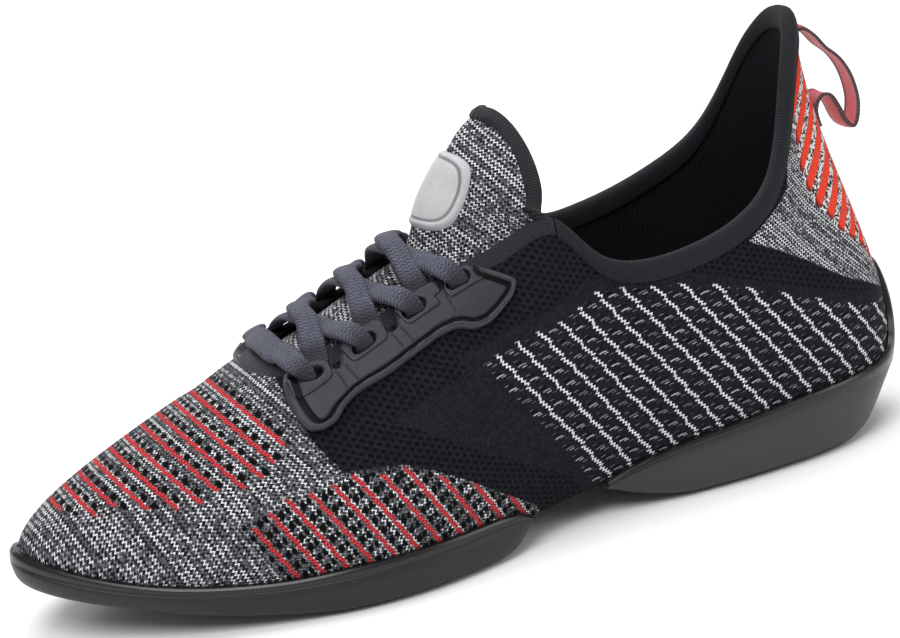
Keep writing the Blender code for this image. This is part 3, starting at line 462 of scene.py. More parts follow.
# ---------------------------------------------------------------- meshes
def make_piece(name, verts, faces, mats, attrs=None, face_mats=None, sharp=50.0, solid=True, merge=True):
    """A mesh object in the shared frame. attrs holds one number a vertex for each name."""
    co = (np.asarray(verts, float) - np.array([CENTRE[0], CENTRE[1], 0.0])) * MM
    mesh = bpy.data.meshes.new(name)
    mesh.from_pydata([tuple(v) for v in co], [], [tuple(int(i) for i in f) for f in faces])
    for key, values in (attrs or {}).items():
        layer = mesh.attributes.new(key, "FLOAT", "POINT")
        layer.data.foreach_set("value", np.asarray(values, np.float32).ravel())
    for m in mats:
        mesh.materials.append(m)
    if face_mats is not None:
        mesh.polygons.foreach_set("material_index", np.asarray(face_mats, np.int32))
    bm = bmesh.new()
    bm.from_mesh(mesh)
    if merge:
        bmesh.ops.remove_doubles(bm, verts=bm.verts, dist=1e-7)
    if solid:
        bmesh.ops.recalc_face_normals(bm, faces=bm.faces)
        if bm.calc_volume(signed=True) < 0:
            bmesh.ops.reverse_faces(bm, faces=bm.faces)
    bm.to_mesh(mesh)
    bm.free()
    mesh.shade_smooth()
    mesh.set_sharp_from_angle(angle=math.radians(sharp))
    obj = bpy.data.objects.new(name, mesh)
    bpy.context.scene.collection.objects.link(obj)
    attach(obj, "root")
    return obj


def seg_distance(p, a, b):
    """Distance of points (n, 2) from the segment a-b."""
    a, b = np.asarray(a, float), np.asarray(b, float)
    d = b - a
    t = np.clip(((p - a) @ d) / (d @ d + 1e-12), 0, 1)
    return np.linalg.norm(p - a - t[:, None] * d, axis=1)


def line_distance(p, line):
    return np.min([seg_distance(p, line[i], line[i + 1]) for i in range(len(line) - 1)], axis=0)


def inside_by(p, poly):
    """Signed distance of points (n, 2) from a polygon's outline, more than zero inside."""
    poly = [tuple(q) for q in poly]
    p = np.asarray(p, float)
    ring = poly + [poly[0]]
    d = line_distance(p, ring)
    odd = np.zeros(len(p), bool)
    for (x0, y0), (x1, y1) in zip(ring[:-1], ring[1:]):
        cross = (y0 > p[:, 1]) != (y1 > p[:, 1])
        at = (x1 - x0) * (p[:, 1] - y0) / (y1 - y0 + 1e-12) + x0
        odd ^= cross & (p[:, 0] < at)
    return np.where(odd, d, -d)


def soft(x, a, b):
    """0 below a, 1 above b, smooth between."""
    t = np.clip((x - a) / (b - a), 0, 1)
    return t * t * (3 - 2 * t)


# ---------------------------------------------------------------- materials
class Val:
    """An output in a material's node tree, with arithmetic."""

    def __init__(self, g, socket):
        self.g, self.s = g, socket

    def __add__(self, o): return self.g.math("ADD", self, o)
    def __radd__(self, o): return self.g.math("ADD", o, self)
    def __sub__(self, o): return self.g.math("SUBTRACT", self, o)
    def __rsub__(self, o): return self.g.math("SUBTRACT", o, self)
    def __mul__(self, o): return self.g.math("MULTIPLY", self, o)
    def __rmul__(self, o): return self.g.math("MULTIPLY", o, self)
    def __truediv__(self, o): return self.g.math("DIVIDE", self, o)
    def __neg__(self): return self.g.math("MULTIPLY", self, -1.0)


class Graph:
    """One material under construction."""

    def __init__(self, name, roughness=0.8, specular=0.5, metallic=0.0):
        self.mat = bpy.data.materials.new(name)
        self.mat.use_nodes = True
        self.t = self.mat.node_tree
        self.bsdf = self.t.nodes["Principled BSDF"]
        self.bsdf.inputs["Roughness"].default_value = roughness
        self.bsdf.inputs["Specular IOR Level"].default_value = specular
        self.bsdf.inputs["Metallic"].default_value = metallic

    def put(self, socket, value):
        if isinstance(value, Val):
            self.t.links.new(value.s, socket)
        elif isinstance(value, (tuple, list)):
            socket.default_value = tuple(value) if len(value) == 4 or socket.type == "VECTOR" else (*value, 1.0)
        else:
            socket.default_value = value

    def math(self, op, *args):
        n = self.t.nodes.new("ShaderNodeMath")
        n.operation = op
        for k, a in enumerate(args):
            self.put(n.inputs[k], a)
        return Val(self, n.outputs[0])

    def attr(self, name):
        n = self.t.nodes.new("ShaderNodeAttribute")
        n.attribute_name = name
        return Val(self, n.outputs["Fac"])

    def xyz(self):
        """Place in the shoe's own frame, in millimetres."""
        n = self.t.nodes.new("ShaderNodeTexCoord")
        s = self.t.nodes.new("ShaderNodeSeparateXYZ")
        self.t.links.new(n.outputs["Object"], s.inputs[0])
        x, y, z = (Val(self, s.outputs[k]) * 1000.0 for k in range(3))
        return x + CENTRE[0], y + CENTRE[1], z

    def vec(self, x, y, z=0.0):
        n = self.t.nodes.new("ShaderNodeCombineXYZ")
        for k, a in enumerate((x, y, z)):
            self.put(n.inputs[k], a)
        return Val(self, n.outputs[0])

    def noise(self, vector, scale=1.0, detail=2.0, rough=0.5):
        n = self.t.nodes.new("ShaderNodeTexNoise")
        self.put(n.inputs["Vector"], vector)
        n.inputs["Scale"].default_value = scale
        n.inputs["Detail"].default_value = detail
        n.inputs["Roughness"].default_value = rough
        return Val(self, n.outputs["Fac"])

    def white(self, x, y, z=0.0):
        n = self.t.nodes.new("ShaderNodeTexWhiteNoise")
        n.noise_dimensions = "3D"
        self.put(n.inputs["Vector"], self.vec(x, y, z))
        return Val(self, n.outputs["Value"])

    def ramp(self, v, a, b, low=0.0, high=1.0, smooth=True):
        n = self.t.nodes.new("ShaderNodeMapRange")
        n.interpolation_type = "SMOOTHSTEP" if smooth else "LINEAR"
        self.put(n.inputs["Value"], v)
        for key, x in (("From Min", a), ("From Max", b), ("To Min", low), ("To Max", high)):
            self.put(n.inputs[key], x)
        return Val(self, n.outputs["Result"])

    def mix(self, fac, a, b):
        n = self.t.nodes.new("ShaderNodeMix")
        n.data_type = "RGBA"
        self.put(n.inputs[0], fac)
        self.put(n.inputs[6], a)
        self.put(n.inputs[7], b)
        return Val(self, n.outputs[2])

    def floor(self, v): return self.math("FLOOR", v)
    def fract(self, v): return self.math("FRACT", v)
    def abs(self, v): return self.math("ABSOLUTE", v)
    def min(self, a, b): return self.math("MINIMUM", a, b)
    def max(self, a, b): return self.math("MAXIMUM", a, b)
    def sqrt(self, v): return self.math("SQRT", v)
    def sin(self, v): return self.math("SINE", v)
    def clamp(self, v, a=0.0, b=1.0): return self.min(self.max(v, a), b)
    def tri(self, v): return self.abs(self.fract(v) - 0.5) * 4.0 - 1.0
    def inside(self, v, edge=0.15): return self.ramp(v, -edge, edge)
    def under(self, v, limit, edge=0.1): return self.ramp(v, limit - edge, limit + edge, 1.0, 0.0)

    def finish(self, colour=None, height=None, rough=None, strength=1.0):
        """height in millimetres."""
        if colour is not None:
            self.put(self.bsdf.inputs["Base Color"], colour)
        if rough is not None:
            self.put(self.bsdf.inputs["Roughness"], rough)
        if height is not None:
            n = self.t.nodes.new("ShaderNodeBump")
            n.inputs["Strength"].default_value = strength
            n.inputs["Distance"].default_value = MM
            self.put(n.inputs["Height"], height)
            self.t.links.new(n.outputs[0], self.bsdf.inputs["Normal"])
        return self.mat


# ---------------------------------------------------------------- the upper's zones
ROW_TILT = 0.738


def ridge_y(x):
    """Where the top of the forefoot runs, in plan."""
    return np.interp(x, (-124, -100, -75, -50), (7.0, 7.0, 4.0, 0.0))


def ring_fine(n):
    """n row numbers round the ring at even spacing along the middle of the wall."""
    rows = np.linspace(0, 2 * ROWS, 1441)
    mid = wall(rows, share=np.array([0.4]))[:, 0]
    arc = np.concatenate([[0], np.cumsum(np.linalg.norm(np.diff(mid, axis=0), axis=1))])
    return np.interp(np.linspace(0, arc[-1], n + 1)[:-1], arc, rows), lambda r: np.interp(r, rows, arc), arc[-1]


# soft troughs (depth below zero) and ridges: row, length below the opening, run in rows, run down, depth
FOLDS = (
    (15.4, 22.0, 1.1, 5.0, -0.9), (16.6, 20.0, 1.0, 5.0, -0.7), (17.6, 16.0, 1.3, 4.0, -0.6),
    (20.2, 22.0, 1.2, 5.0, -0.8), (14.7, 40.0, 0.8, 9.0, -0.6), (21.4, 40.0, 0.8, 9.0, -0.6),
    (12.4, 46.0, 1.3, 7.0, -0.8), (23.6, 46.0, 1.3, 7.0, -0.8), (9.0, 20.0, 1.6, 8.0, 0.8), (27.0, 20.0, 1.6, 8.0, 0.8),
    (3.6, 26.0, 1.2, 8.0, -0.6), (32.4, 26.0, 1.2, 8.0, -0.6), (6.6, 12.0, 2.2, 7.0, 0.7), (29.4, 12.0, 2.2, 7.0, 0.7),
)


def girth_field(points):
    """Length round the forefoot from its ridge, along the tilted planes x + 0.738 z that the knit's rows follow."""
    rows = np.linspace(11, 25, 281)
    p = wall(rows, share=np.linspace(0, 1, 90)).reshape(-1, 3)
    ps = np.arange(-118, 78, 4.0)
    th = np.radians(np.arange(-20, 201, 4.0))
    out = np.zeros((len(ps), len(th)))
    def mid_y(t):
        return ridge_y(-124 + (t + 112) * 0.69)
    t_all = p[:, 0] + ROW_TILT * p[:, 2]
    for i, t in enumerate(ps):
        q = p[np.abs(t_all - t) < 3.5]
        if len(q) < 20:
            out[i] = np.nan
            continue
        a, r = np.arctan2(q[:, 2] - 8.0, q[:, 1] - mid_y(t)), np.hypot(q[:, 2] - 8.0, q[:, 1] - mid_y(t))
        a = np.where(a < -1.2, a + math.tau, a)
        o = np.argsort(a)
        rr = np.interp(th, a[o], np.convolve(r[o], np.ones(5) / 5, "same"))
        k = np.exp(-0.5 * (np.arange(-3, 4) / 1.5) ** 2)
        rr = np.convolve(np.pad(rr, 3, "edge"), k / k.sum(), "valid")
        yy, zz = rr * np.cos(th), rr * np.sin(th)
        step = np.sqrt(np.diff(yy) ** 2 + np.diff(zz) ** 2 * (1 + ROW_TILT**2))
        s = np.concatenate([[0], np.cumsum(step)])
        out[i] = s - np.interp(math.pi / 2, th, s)
    good = ~np.isnan(out[:, 0])
    for j in range(len(th)):
        out[:, j] = np.interp(ps, ps[good], out[good, j])
    tp = points[:, 0] + ROW_TILT * points[:, 2]
    a = np.arctan2(points[:, 2] - 8.0, points[:, 1] - mid_y(tp))
    a = np.clip(np.where(a < -1.2, a + math.tau, a), th[0], th[-1] - 1e-4)
    i, j = (np.clip(tp, ps[0], ps[-1] - 1e-3) - ps[0]) / 4.0, (a - th[0]) / np.radians(4.0)
    i0, j0 = i.astype(int), j.astype(int)
    fi, fj = i - i0, j - j0
    return ((out[i0, j0] * (1 - fi) + out[i0 + 1, j0] * fi) * (1 - fj) + (out[i0, j0 + 1] * (1 - fi) + out[i0 + 1, j0 + 1] * fi) * fj)


# upper ends of the white lines by their p, lower edge of the red rows by their p, upper ends of the side rows by theirs
QUARTER_TOP = ((20, 53), (27.9, 54), (35.3, 56), (42.8, 57), (50.2, 58), (57.6, 60), (65, 62), (72.5, 62), (79.9, 61), (87.3, 59), (94.8, 57), (102.2, 53), (109.6, 49), (117, 45), (124.5, 40), (132, 36))
VAMP_LOW = ((-95, 33), (-87, 34), (-75, 34.8), (-62, 34.9), (-56, 35.6), (-50, 36.8), (-44, 37.6), (-37, 38.4), (-31, 40.5), (-24.5, 44.2), (-18, 50))
PANEL_TOP = ((-69, 27), (-62.8, 28), (-50, 32), (-37, 34), (-30.8, 35), (-24.4, 34.5), (-18, 34), (-11.6, 30), (-5.2, 24), (1.2, 16), (6, 10))
MELANGE_EDGE = ((5, 8), (-5, 19), (-19, 28), (-32, 33), (-45, 34.5), (-50, 43), (-53, 52), (-53.5, 64))
TRIANGLE = ((-30, 46), (4, 55), (24, 12))
HEEL_EDGE = ((34, 95), (33, 88), (35, 81), (34.1, 74.3), (31.8, 68.6), (28.7, 64.9), (25.7, 59.9), (21.9, 56.8), (17.1, 53.4), (12.5, 47), (8.2, 42), (5, 39), (0, 36))
WEDGE = ((64, 65.5), (46, 76), (38, 92), (20, 100), (0, 100), (0, 32), (10, 37.5), (20, 42), (30, 47), (43, 55), (54, 60.5))


def build_upper():
    n = 420
    rows, arc_of, whole = ring_fine(n)
    near = np.abs(np.mod(rows + ROWS, 2 * ROWS) - ROWS)
    edge = np.where(near <= CORNER + 0.01, 3.0, 2.5)
    _, s = meridians(rows)
    total = s[:, [-1]]
    ups = 104
    share = np.linspace(0, 1, ups + 1)[None, :]
    lengths = (1 - share) * (total - edge[:, None]) + edge[:, None]
    lift = np.zeros_like(lengths)
    for row, down, wide, run, depth in FOLDS:
        d = (np.mod(rows - row + ROWS, 2 * ROWS) - ROWS)[:, None] / wide
        lift += depth * np.exp(-d**2 - ((lengths - down) / run) ** 2)
    outer = on_wall(rows, lengths, lift)
    ins = 40
    share_i = np.linspace(0, 1, ins + 1)[None, :]
    low = np.full_like(total, 1.0)
    lengths_i = (1 - share_i) * (total - low) + low
    inner = on_wall(rows, lengths_i, -wall_thickness(rows)[:, None])
    inner[:, 0, 2] = outer[:, 0, 2]
    lip = inner[:, -1:, :]
    section = np.concatenate([outer, inner[:, ::-1]], 1)
    nv = section.shape[1]
    flat = section.reshape(-1, 3)
    x, y, z = flat.T
    side = np.repeat(near, nv)
    arc = np.minimum(arc_of(rows), whole - arc_of(rows))
    arc = np.repeat(arc, nv)
    down = np.concatenate([lengths, lengths_i[:, ::-1]], 1).ravel()
    is_in = np.concatenate([np.zeros_like(lengths), np.ones_like(lengths_i)], 1).ravel()
    g = girth_field(flat)
    pv = x + ROW_TILT * z
    pq = x + 0.65 * (z - 15)
    pp = x + 0.55 * (z - 12)
    def look(at, pairs):
        a, b = np.array(pairs, float).T
        return np.interp(at, a, b)
    front = np.clip((30 - x) / 10, -1, 1)
    edge_x = np.interp(z, [b for _, b in MELANGE_EDGE], [a for a, _ in MELANGE_EDGE])
    az = np.stack([arc, z], 1)
    attrs = {
        "arc": arc, "down": down, "inner": is_in, "girth": g, "pv": pv, "pq": pq, "pp": pp,
        "quarter": np.minimum(look(pq, QUARTER_TOP) - z, np.minimum(pq - 22.0, x + 6.0)),
        "vamp": np.minimum(z - look(pv, VAMP_LOW), np.minimum(-21.6 - pv, pv + 90.4)),
        "panel": np.minimum(look(pp, PANEL_TOP) - z, np.minimum(pp + 66.0, 4.4 - pp)),
        "melange": (edge_x - x) * 0.8,
        "fine": inside_by(np.stack([x, z], 1), TRIANGLE),
        "heel": np.interp(z, [b for _, b in HEEL_EDGE[::-1]], [a for a, _ in HEEL_EDGE[::-1]]) - arc,
        "wedge": inside_by(az, WEDGE),
    }
    attrs["wedge"] = np.where(x > 40, attrs["wedge"], -20.0)
    attrs["heel"] = np.where(x > 60, attrs["heel"], -20.0)
    faces, mats = [], []
    for i in range(n):
        k = (i + 1) % n
        for j in range(nv):
            l = (j + 1) % nv
            faces.append((i * nv + j, k * nv + j, k * nv + l, i * nv + l))
            v = i * nv + j
            heel = attrs["wedge"][v] > -1.6 or attrs["heel"][v] > -2.5
            mats.append(3 if j > ups else 2 if heel else 1 if pq[v] > 16.0 else 0)
    obj = make_piece("upper_knit", flat, faces, [fore_material(), quarter_material(), heel_material(), lining_material()], attrs, mats, sharp=80)
    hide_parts("upper")
    return obj


# ---------------------------------------------------------------- soles
def profile_fine(side, keep, steps):
    """Rounds the free part of each section: points from keep on are joined by a smooth curve."""
    head, tail = side[:, :keep], side[:, keep:]
    out = []
    for row in tail:
        out.append(through(row, steps))
    return np.concatenate([head, np.array(out)], 1)


def build_sole(name, first, last, rim, tuck, cap_first, cap_last, node):
    rows = np.linspace(first, last, int((last - first) * 14) + 1)
    sides = []
    for r in (rows, 2 * ROWS - rows):
        sides.append(profile_fine(sole_side(r, rim, tuck), 5, 5))
    a, b = sides
    verts, faces = sweep_halves(a, b, 24, cap_first, cap_last)
    nv = len(verts) // len(rows)
    na = a.shape[1]
    high = np.concatenate([np.full(5, 1.0), np.linspace(1, 0, na - 5)])
    band = np.concatenate([high, np.zeros(23), high[::-1], np.full(23, 1.0)])
    row_arc = np.concatenate([[0], np.cumsum(np.linalg.norm(np.diff(a[:, 6], axis=0), axis=1))])
    attrs = {"band": np.tile(band, len(rows)), "along": np.repeat(row_arc, nv)}
    obj = make_piece(name, verts, faces, [rubber_material()], attrs, sharp=42)
    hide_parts(node)
    return obj


# ---------------------------------------------------------------- edgings
def superellipse(n, half_w, half_t, power=2.6):
    a = np.arange(n) * math.tau / n
    c, s = np.cos(a), np.sin(a)
    return np.stack([half_w * np.sign(c) * np.abs(c) ** (2 / power), half_t * np.sign(s) * np.abs(s) ** (2 / power)], 1)


def build_binding():
    rows = np.linspace(-CORNER + 0.02, CORNER - 0.02, 560)
    line = wall(np.mod(rows, 2 * ROWS), s_from_top=np.array([0.0]))[:, 0]
    arc = np.concatenate([[0], np.cumsum(np.linalg.norm(np.diff(line, axis=0), axis=1))])
    t = wall_thickness(rows)
    # a folded tape: from its lower edge outside, over the opening, to its lower edge inside
    down = np.array([6.0, 5.9, 5.4, 4.4, 3.2, 2.0, 1.0, 0.35, 0.0, 0.0, 0.35, 1.0, 2.0, 3.2, 4.4, 5.4, 5.9, 6.0])
    out = np.array([0.25, 0.7, 0.95, 1.0, 1.0, 0.9, 0.62, 0.2])
    lift = np.stack([*(0 * t + o for o in out), -0.3 * t, -0.7 * t, *(-t - o for o in out[::-1])], 1)
    ease = np.clip((np.abs(rows) - 9.2) / 0.78, 0, 1)[:, None]
    lift = lift * (1 - 0.15 * ease)
    wave = 0.12 * np.sin(arc / 9.0)[:, None] * np.sin(down * 0.5)[None, :]
    g = on_wall(rows, down[None, :] + wave, lift)
    nv = len(down)
    verts, faces = loops_solid(g, False)
    across = np.concatenate([[0], np.cumsum(np.linalg.norm(np.diff(g[len(rows) // 2], axis=0), axis=1))])
    attrs = {"along": np.repeat(arc, nv), "across": np.tile(across, len(rows)), "depth": np.tile(down, len(rows))}
    obj = make_piece("collar_tape", verts, faces, [tape_material("collar_tape", (0.0060, 0.0065, 0.0088))], attrs, sharp=70)
    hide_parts("collar_binding")


def build_band():
    rows = np.linspace(CORNER + 0.02, 2 * ROWS - CORNER - 0.02, 420)
    near = np.abs(np.mod(rows + ROWS, 2 * ROWS) - ROWS)
    t = wall_thickness(rows)
    proud = 0.12 + np.clip(1 - (near - 10.3) / 0.7, 0, 1) * 0.55
    line = wall(rows, s_from_top=np.array([0.0]))[:, 0]
    arc = np.concatenate([[0], np.cumsum(np.linalg.norm(np.diff(line, axis=0), axis=1))])
    down = np.array([5.6, 5.2, 4.4, 3.2, 2.0, 1.0, 0.35, 0.0, 0.0, 0.4, 1.5, 3.5, 5.0])
    out = (0.1, 0.7, 1.0, 1.0, 0.95, 0.7, 0.2)
    lift = np.stack([*(proud * o for o in out), -0.35 * t, -0.7 * t, -t - 0.2, -t - 0.4, -t - 0.4, -t - 0.2], 1)
    g = on_wall(rows, down[None, :] + 0 * rows[:, None], lift)
    verts, faces = loops_solid(g, False)
    nv = len(down)
    across = np.concatenate([[0], np.cumsum(np.linalg.norm(np.diff(g[len(rows) // 2], axis=0), axis=1))])
    attrs = {"along": np.repeat(arc, nv), "across": np.tile(across, len(rows)), "depth": np.tile(down, len(rows))}
    obj = make_piece("throat_tape", verts, faces, [tape_material("throat_tape", (0.0075, 0.008, 0.012), 0.6)], attrs, sharp=70)
    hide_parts("throat_band")


# ---------------------------------------------------------------- tongue
def build_tongue():
    across = 72
    coarse = tongue_grid(across)
    top = through(coarse, 8)
    n = grid_normals(top, False)
    if n[len(n) // 2, across // 2, 2] < 0:
        n = -n
    u = np.concatenate([[0], np.cumsum(np.linalg.norm(np.diff(top[:, across // 2], axis=0), axis=1))])
    v = np.concatenate([np.zeros((len(top), 1)), np.cumsum(np.linalg.norm(np.diff(top, axis=1), axis=2), 1)], 1)
    v -= v[:, [across // 2]]
    # the free end is padded a little and dips just inside its edging
    free = soft(u, u[-1] - 40, u[-1] - 26)[:, None]
    half = np.maximum(v[:, [-1]], 1.0)
    rim = soft(half - np.abs(v), 2.0, 8.0)
    puff = free * rim * 0.9 * soft(u[-1] - u, 2.0, 10.0)[:, None]
    top = top + n * puff[:, :, None]
    verts, faces = plate_between(top, top - n * (TONGUE + puff[:, :, None]))
    du = np.repeat(u, across + 1)
    dv = v.ravel()
    edge = np.minimum(np.where(free > 0.5, half - np.abs(v), 50.0), (u[-1] - u)[:, None])
    attrs = {"u": np.tile(du, 2), "v": np.tile(dv, 2), "edge": np.tile(edge.ravel(), 2)}
    obj = make_piece("tongue_knit", verts, faces, [tongue_material()], attrs, sharp=60)
    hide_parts("tongue")

    # edging round the free end: a folded tape along both edges and over the tip
    first = 8 * 9
    left, right, tip = top[first:, 0], top[first:, -1], top[-1]
    path = np.concatenate([left[:-1], tip, right[::-1][1:]])
    nn = np.concatenate([n[first:, 0][:-1], n[-1], n[first:, -1][::-1][1:]])
    keep = [0]
    for i in range(1, len(path)):
        if np.linalg.norm(path[i] - path[keep[-1]]) > 0.5:
            keep.append(i)
    path, nn = path[keep], nn[keep]
    for _ in range(6):
        path[1:-1] = 0.25 * path[:-2] + 0.5 * path[1:-1] + 0.25 * path[2:]
        nn[1:-1] = 0.25 * nn[:-2] + 0.5 * nn[1:-1] + 0.25 * nn[2:]
    nn /= np.linalg.norm(nn, axis=1)[:, None]
    along = np.gradient(path, axis=0)
    along /= np.linalg.norm(along, axis=1)[:, None]
    inward = np.cross(along, nn)
    centre = top[-30:, across // 2].mean(0)
    if np.sum((centre - path) * inward) < 0:
        inward = -inward
    arc = np.concatenate([[0], np.cumsum(np.linalg.norm(np.diff(path, axis=0), axis=1))])
    shape = ((4.2, 0.25), (3.9, 0.75), (3.0, 1.0), (1.8, 1.0), (0.6, 0.8), (-0.3, 0.2), (-0.7, -0.7), (-0.7, -1.9), (-0.3, -2.8), (0.6, -3.4), (1.8, -3.6), (3.0, -3.5), (3.9, -3.1), (4.2, -2.7))
    g = np.stack([path + inward * a + nn * b for a, b in shape], 1)
    verts, faces = loops_solid(g, False)
    across_v = np.concatenate([[0], np.cumsum(np.hypot(*np.diff(np.array(shape), axis=0).T))])
    attrs = {"along": np.repeat(arc, len(shape)), "across": np.tile(across_v, len(path)), "depth": np.tile([s[0] for s in shape], len(path))}
    tape = make_piece("tongue_tape", verts, faces, [tape_material("tongue_tape", (0.014, 0.014, 0.017))], attrs, sharp=70)

    # the tongue's face, its normals and its lengths along and across go back for the
    # patch; the patch: a soft moulded label, left bare, following the tongue
    return top, n, u, v


def build_patch(top, n, u, v):
    """A rounded, bare moulded patch on the tongue's free end."""
    across = top.shape[1] - 1
    nu, nv = 60, 60
    a = np.linspace(-1, 1, nu)
    b = np.linspace(-1, 1, nv)
    A, B = np.meshgrid(a, b, indexing="ij")
    # a square grid bent to a rounded shape: wider at the top than at the bottom
    R = np.maximum(np.abs(A), np.abs(B))
    T = np.arctan2(B, A)
    k = R / np.maximum((np.abs(np.cos(T)) ** 3.2 + np.abs(np.sin(T)) ** 3.2) ** (1 / 3.2), 1e-6)
    A2, B2 = k * np.cos(T), k * np.sin(T)
    cu = u[-1] - 26.0
    U = cu + A2 * 11.0
    V = B2 * (11.2 - 0.8 * A2)
    iu = np.interp(U, u, np.arange(len(u)))
    i0 = np.clip(iu.astype(int), 0, len(u) - 2)
    fi = iu - i0
    P = np.zeros(U.shape + (3,))
    N = np.zeros_like(P)
    for s in range(nu):
        for t in range(nv):
            for w, i in ((1 - fi[s, t], i0[s, t]), (fi[s, t], i0[s, t] + 1)):
                jj = np.interp(V[s, t], v[i], np.arange(across + 1))
                j0 = min(int(jj), across - 1)
                fj = jj - j0
                P[s, t] += w * (top[i, j0] * (1 - fj) + top[i, j0 + 1] * fj)
                N[s, t] += w * (n[i, j0] * (1 - fj) + n[i, j0 + 1] * fj)
    N /= np.linalg.norm(N, axis=2)[:, :, None]
    h = 0.95 * soft(1 - R, 0.0, 0.09) + 0.22 * np.exp(-((R - 0.86) / 0.035) ** 2) - 0.18 * np.exp(-((R - 0.78) / 0.03) ** 2)
    high = P + N * (h + 0.02)[:, :, None]
    verts, faces = plate_between(high, P - N * 0.5)
    obj = make_piece("tongue_patch", verts, faces, [patch_material()], {"ring": np.tile(R.ravel(), 2)}, sharp=60)


# ---------------------------------------------------------------- lace plates
FRAMES = (
    ((79.5, 8.6), (77, 14.8), (70.3, 10), (71.4, 5), (73.9, 3.6), (78, 3.9)),
    ((68.4, 1.6), (64.7, 9.4), (54.3, 8.8), (54.7, 2.8), (57.9, 1.4)),
    ((50.9, 1.8), (47.8, 9), (37.8, 8.6), (38.9, 5.8), (36.6, 5.6), (37.2, 1.8)),
    ((35.5, 5.8), (34.4, 8.8), (22.9, 7.8), (27.5, 2.2), (33.6, 1.8)),
)
SCORES = (((69.5, 9), (66.7, 15.4)), ((67, 8.8), (63.8, 15.2)), ((53.2, 8.2), (50.9, 13.4)), ((50.3, 7.8), (47.8, 13.8)), ((35.8, 6.4), (34.2, 13.2)))


def chaikin(poly, rounds=2, cut=0.2):
    p = np.array(poly, float)
    for _ in range(rounds):
        q = np.roll(p, -1, 0)
        p = np.stack([p * (1 - cut) + q * cut, p * cut + q * (1 - cut)], 1).reshape(-1, 2)
    return [tuple(r) for r in p]


def slot_ring(u, v, grow=0.0, n=28):
    w, h = SLOT_U / 2 + grow, SLOT_V / 2 + grow
    ring = []
    for a in np.arange(n) * math.tau / n + 0.01:
        c, s = math.cos(a), math.sin(a)
        ring.append((u + (w - h) * (1 if c > 0 else -1) + h * c, v + h * s))
    return ring


def raw_prism(name, outline, low, high):
    n = len(outline)
    mesh = bpy.data.meshes.new(name)
    verts = [(u, v, low) for u, v in outline] + [(u, v, high) for u, v in outline]
    faces = [tuple(range(n))[::-1], tuple(range(n, 2 * n))] + [(i, (i + 1) % n, n + (i + 1) % n, n + i) for i in range(n)]
    mesh.from_pydata(verts, [], faces)
    obj = bpy.data.objects.new(name, mesh)
    bpy.context.scene.collection.objects.link(obj)
    return obj


def plate_flat():
    """The plate laid flat: u, v, height, cut to its outline and slots; worked out once for both sides."""
    us, vs = np.arange(13, 83, 0.5), np.arange(-1, 27, 0.5)
    g = np.stack(np.meshgrid(us, vs, indexing="ij"), -1)
    low = np.concatenate([g, np.full(g.shape[:2] + (1,), 0.3)], 2)
    high = low.copy()
    high[:, :, 2] = 1.0
    verts, faces = plate_between(high, low)
    mesh = bpy.data.meshes.new("slab")
    mesh.from_pydata([tuple(v) for v in verts], [], [tuple(f) for f in faces])
    slab = bpy.data.objects.new("slab", mesh)
    bpy.context.scene.collection.objects.link(slab)
    bm = bmesh.new(); bm.from_mesh(mesh); bmesh.ops.recalc_face_normals(bm, faces=bm.faces); bm.to_mesh(mesh); bm.free()
    outline = chaikin(PLATE_LOW + PLATE_HIGH, 2, 0.18)
    tools = [raw_prism("keep", outline, -2, 6)]
    mod = slab.modifiers.new("outline", "BOOLEAN")
    mod.operation, mod.object, mod.solver = "INTERSECT", tools[0], "EXACT"
    for k, (u, v) in enumerate(EYELETS):
        tools.append(raw_prism("slot%d" % k, slot_ring(u, v), -1, 5))
        mod = slab.modifiers.new("slot%d" % k, "BOOLEAN")
        mod.operation, mod.object, mod.solver = "DIFFERENCE", tools[-1], "EXACT"
    flat = bpy.data.meshes.new_from_object(slab.evaluated_get(bpy.context.evaluated_depsgraph_get()))
    co = np.array([v.co for v in flat.vertices])
    faces = [tuple(f.vertices) for f in flat.polygons]
    for obj in [slab] + tools:
        bpy.data.objects.remove(obj, do_unlink=True)
    p = co[:, :2]
    d_out = inside_by(p, outline)
    low_line = chaikin_open(PLATE_HIGH[-2:] + PLATE_LOW + PLATE_HIGH[:1], 2, 0.18)
    d_low = line_distance(p, low_line)
    d_slot = -np.max([inside_by(p, slot_ring(u, v)) for u, v in EYELETS], axis=0)
    d_frame = np.max([inside_by(p, chaikin(f, 1, 0.08)) for f in FRAMES], axis=0)
    d_score = np.min([seg_distance(p, a, b) for a, b in SCORES], axis=0)
    top = co[:, 2] > 0.8
    h = np.full(len(p), 1.3)
    h += 0.75 * soft(-d_low, -1.7, -1.2)
    h += 0.45 * soft(d_frame, -0.25, 0.25)
    h -= 0.6 * (1 - soft(np.abs(d_low - 2.0), 0.35, 0.65))
    h -= 0.55 * (1 - soft(d_out, 0.0, 0.55)) + 0.3 * (1 - soft(d_slot, 0.0, 0.45))
    height = np.where(top, 0.45 + h, 0.12)
    return np.stack([co[:, 0], co[:, 1], height], 1), faces, {"low": d_low, "frame": d_frame, "score": d_score, "slot": d_slot, "rim": np.minimum(d_out, d_slot)}


def chaikin_open(line, rounds=2, cut=0.2):
    p = np.array(line, float)
    for _ in range(rounds):
        a, b = p[:-1], p[1:]
        q = np.stack([a * (1 - cut) + b * cut, a * cut + b * (1 - cut)], 1).reshape(-1, 2)
        p = np.concatenate([p[:1], q[1:-1], p[-1:]])
    return [tuple(r) for r in p]


def build_plates():
    co, faces, marks = plate_flat()
    mat = plate_material()
    for name, inner in (("eyestay_outer", False), ("eyestay_inner", True)):
        verts = wrap(co[:, 0], co[:, 1], co[:, 2], inner)
        obj = make_piece("plate_" + ("inner" if inner else "outer"), verts, faces, [mat], marks, sharp=62)
        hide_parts(name)


# ---------------------------------------------------------------- laces
BULK = 2.5            # thickness of the plump woven lace


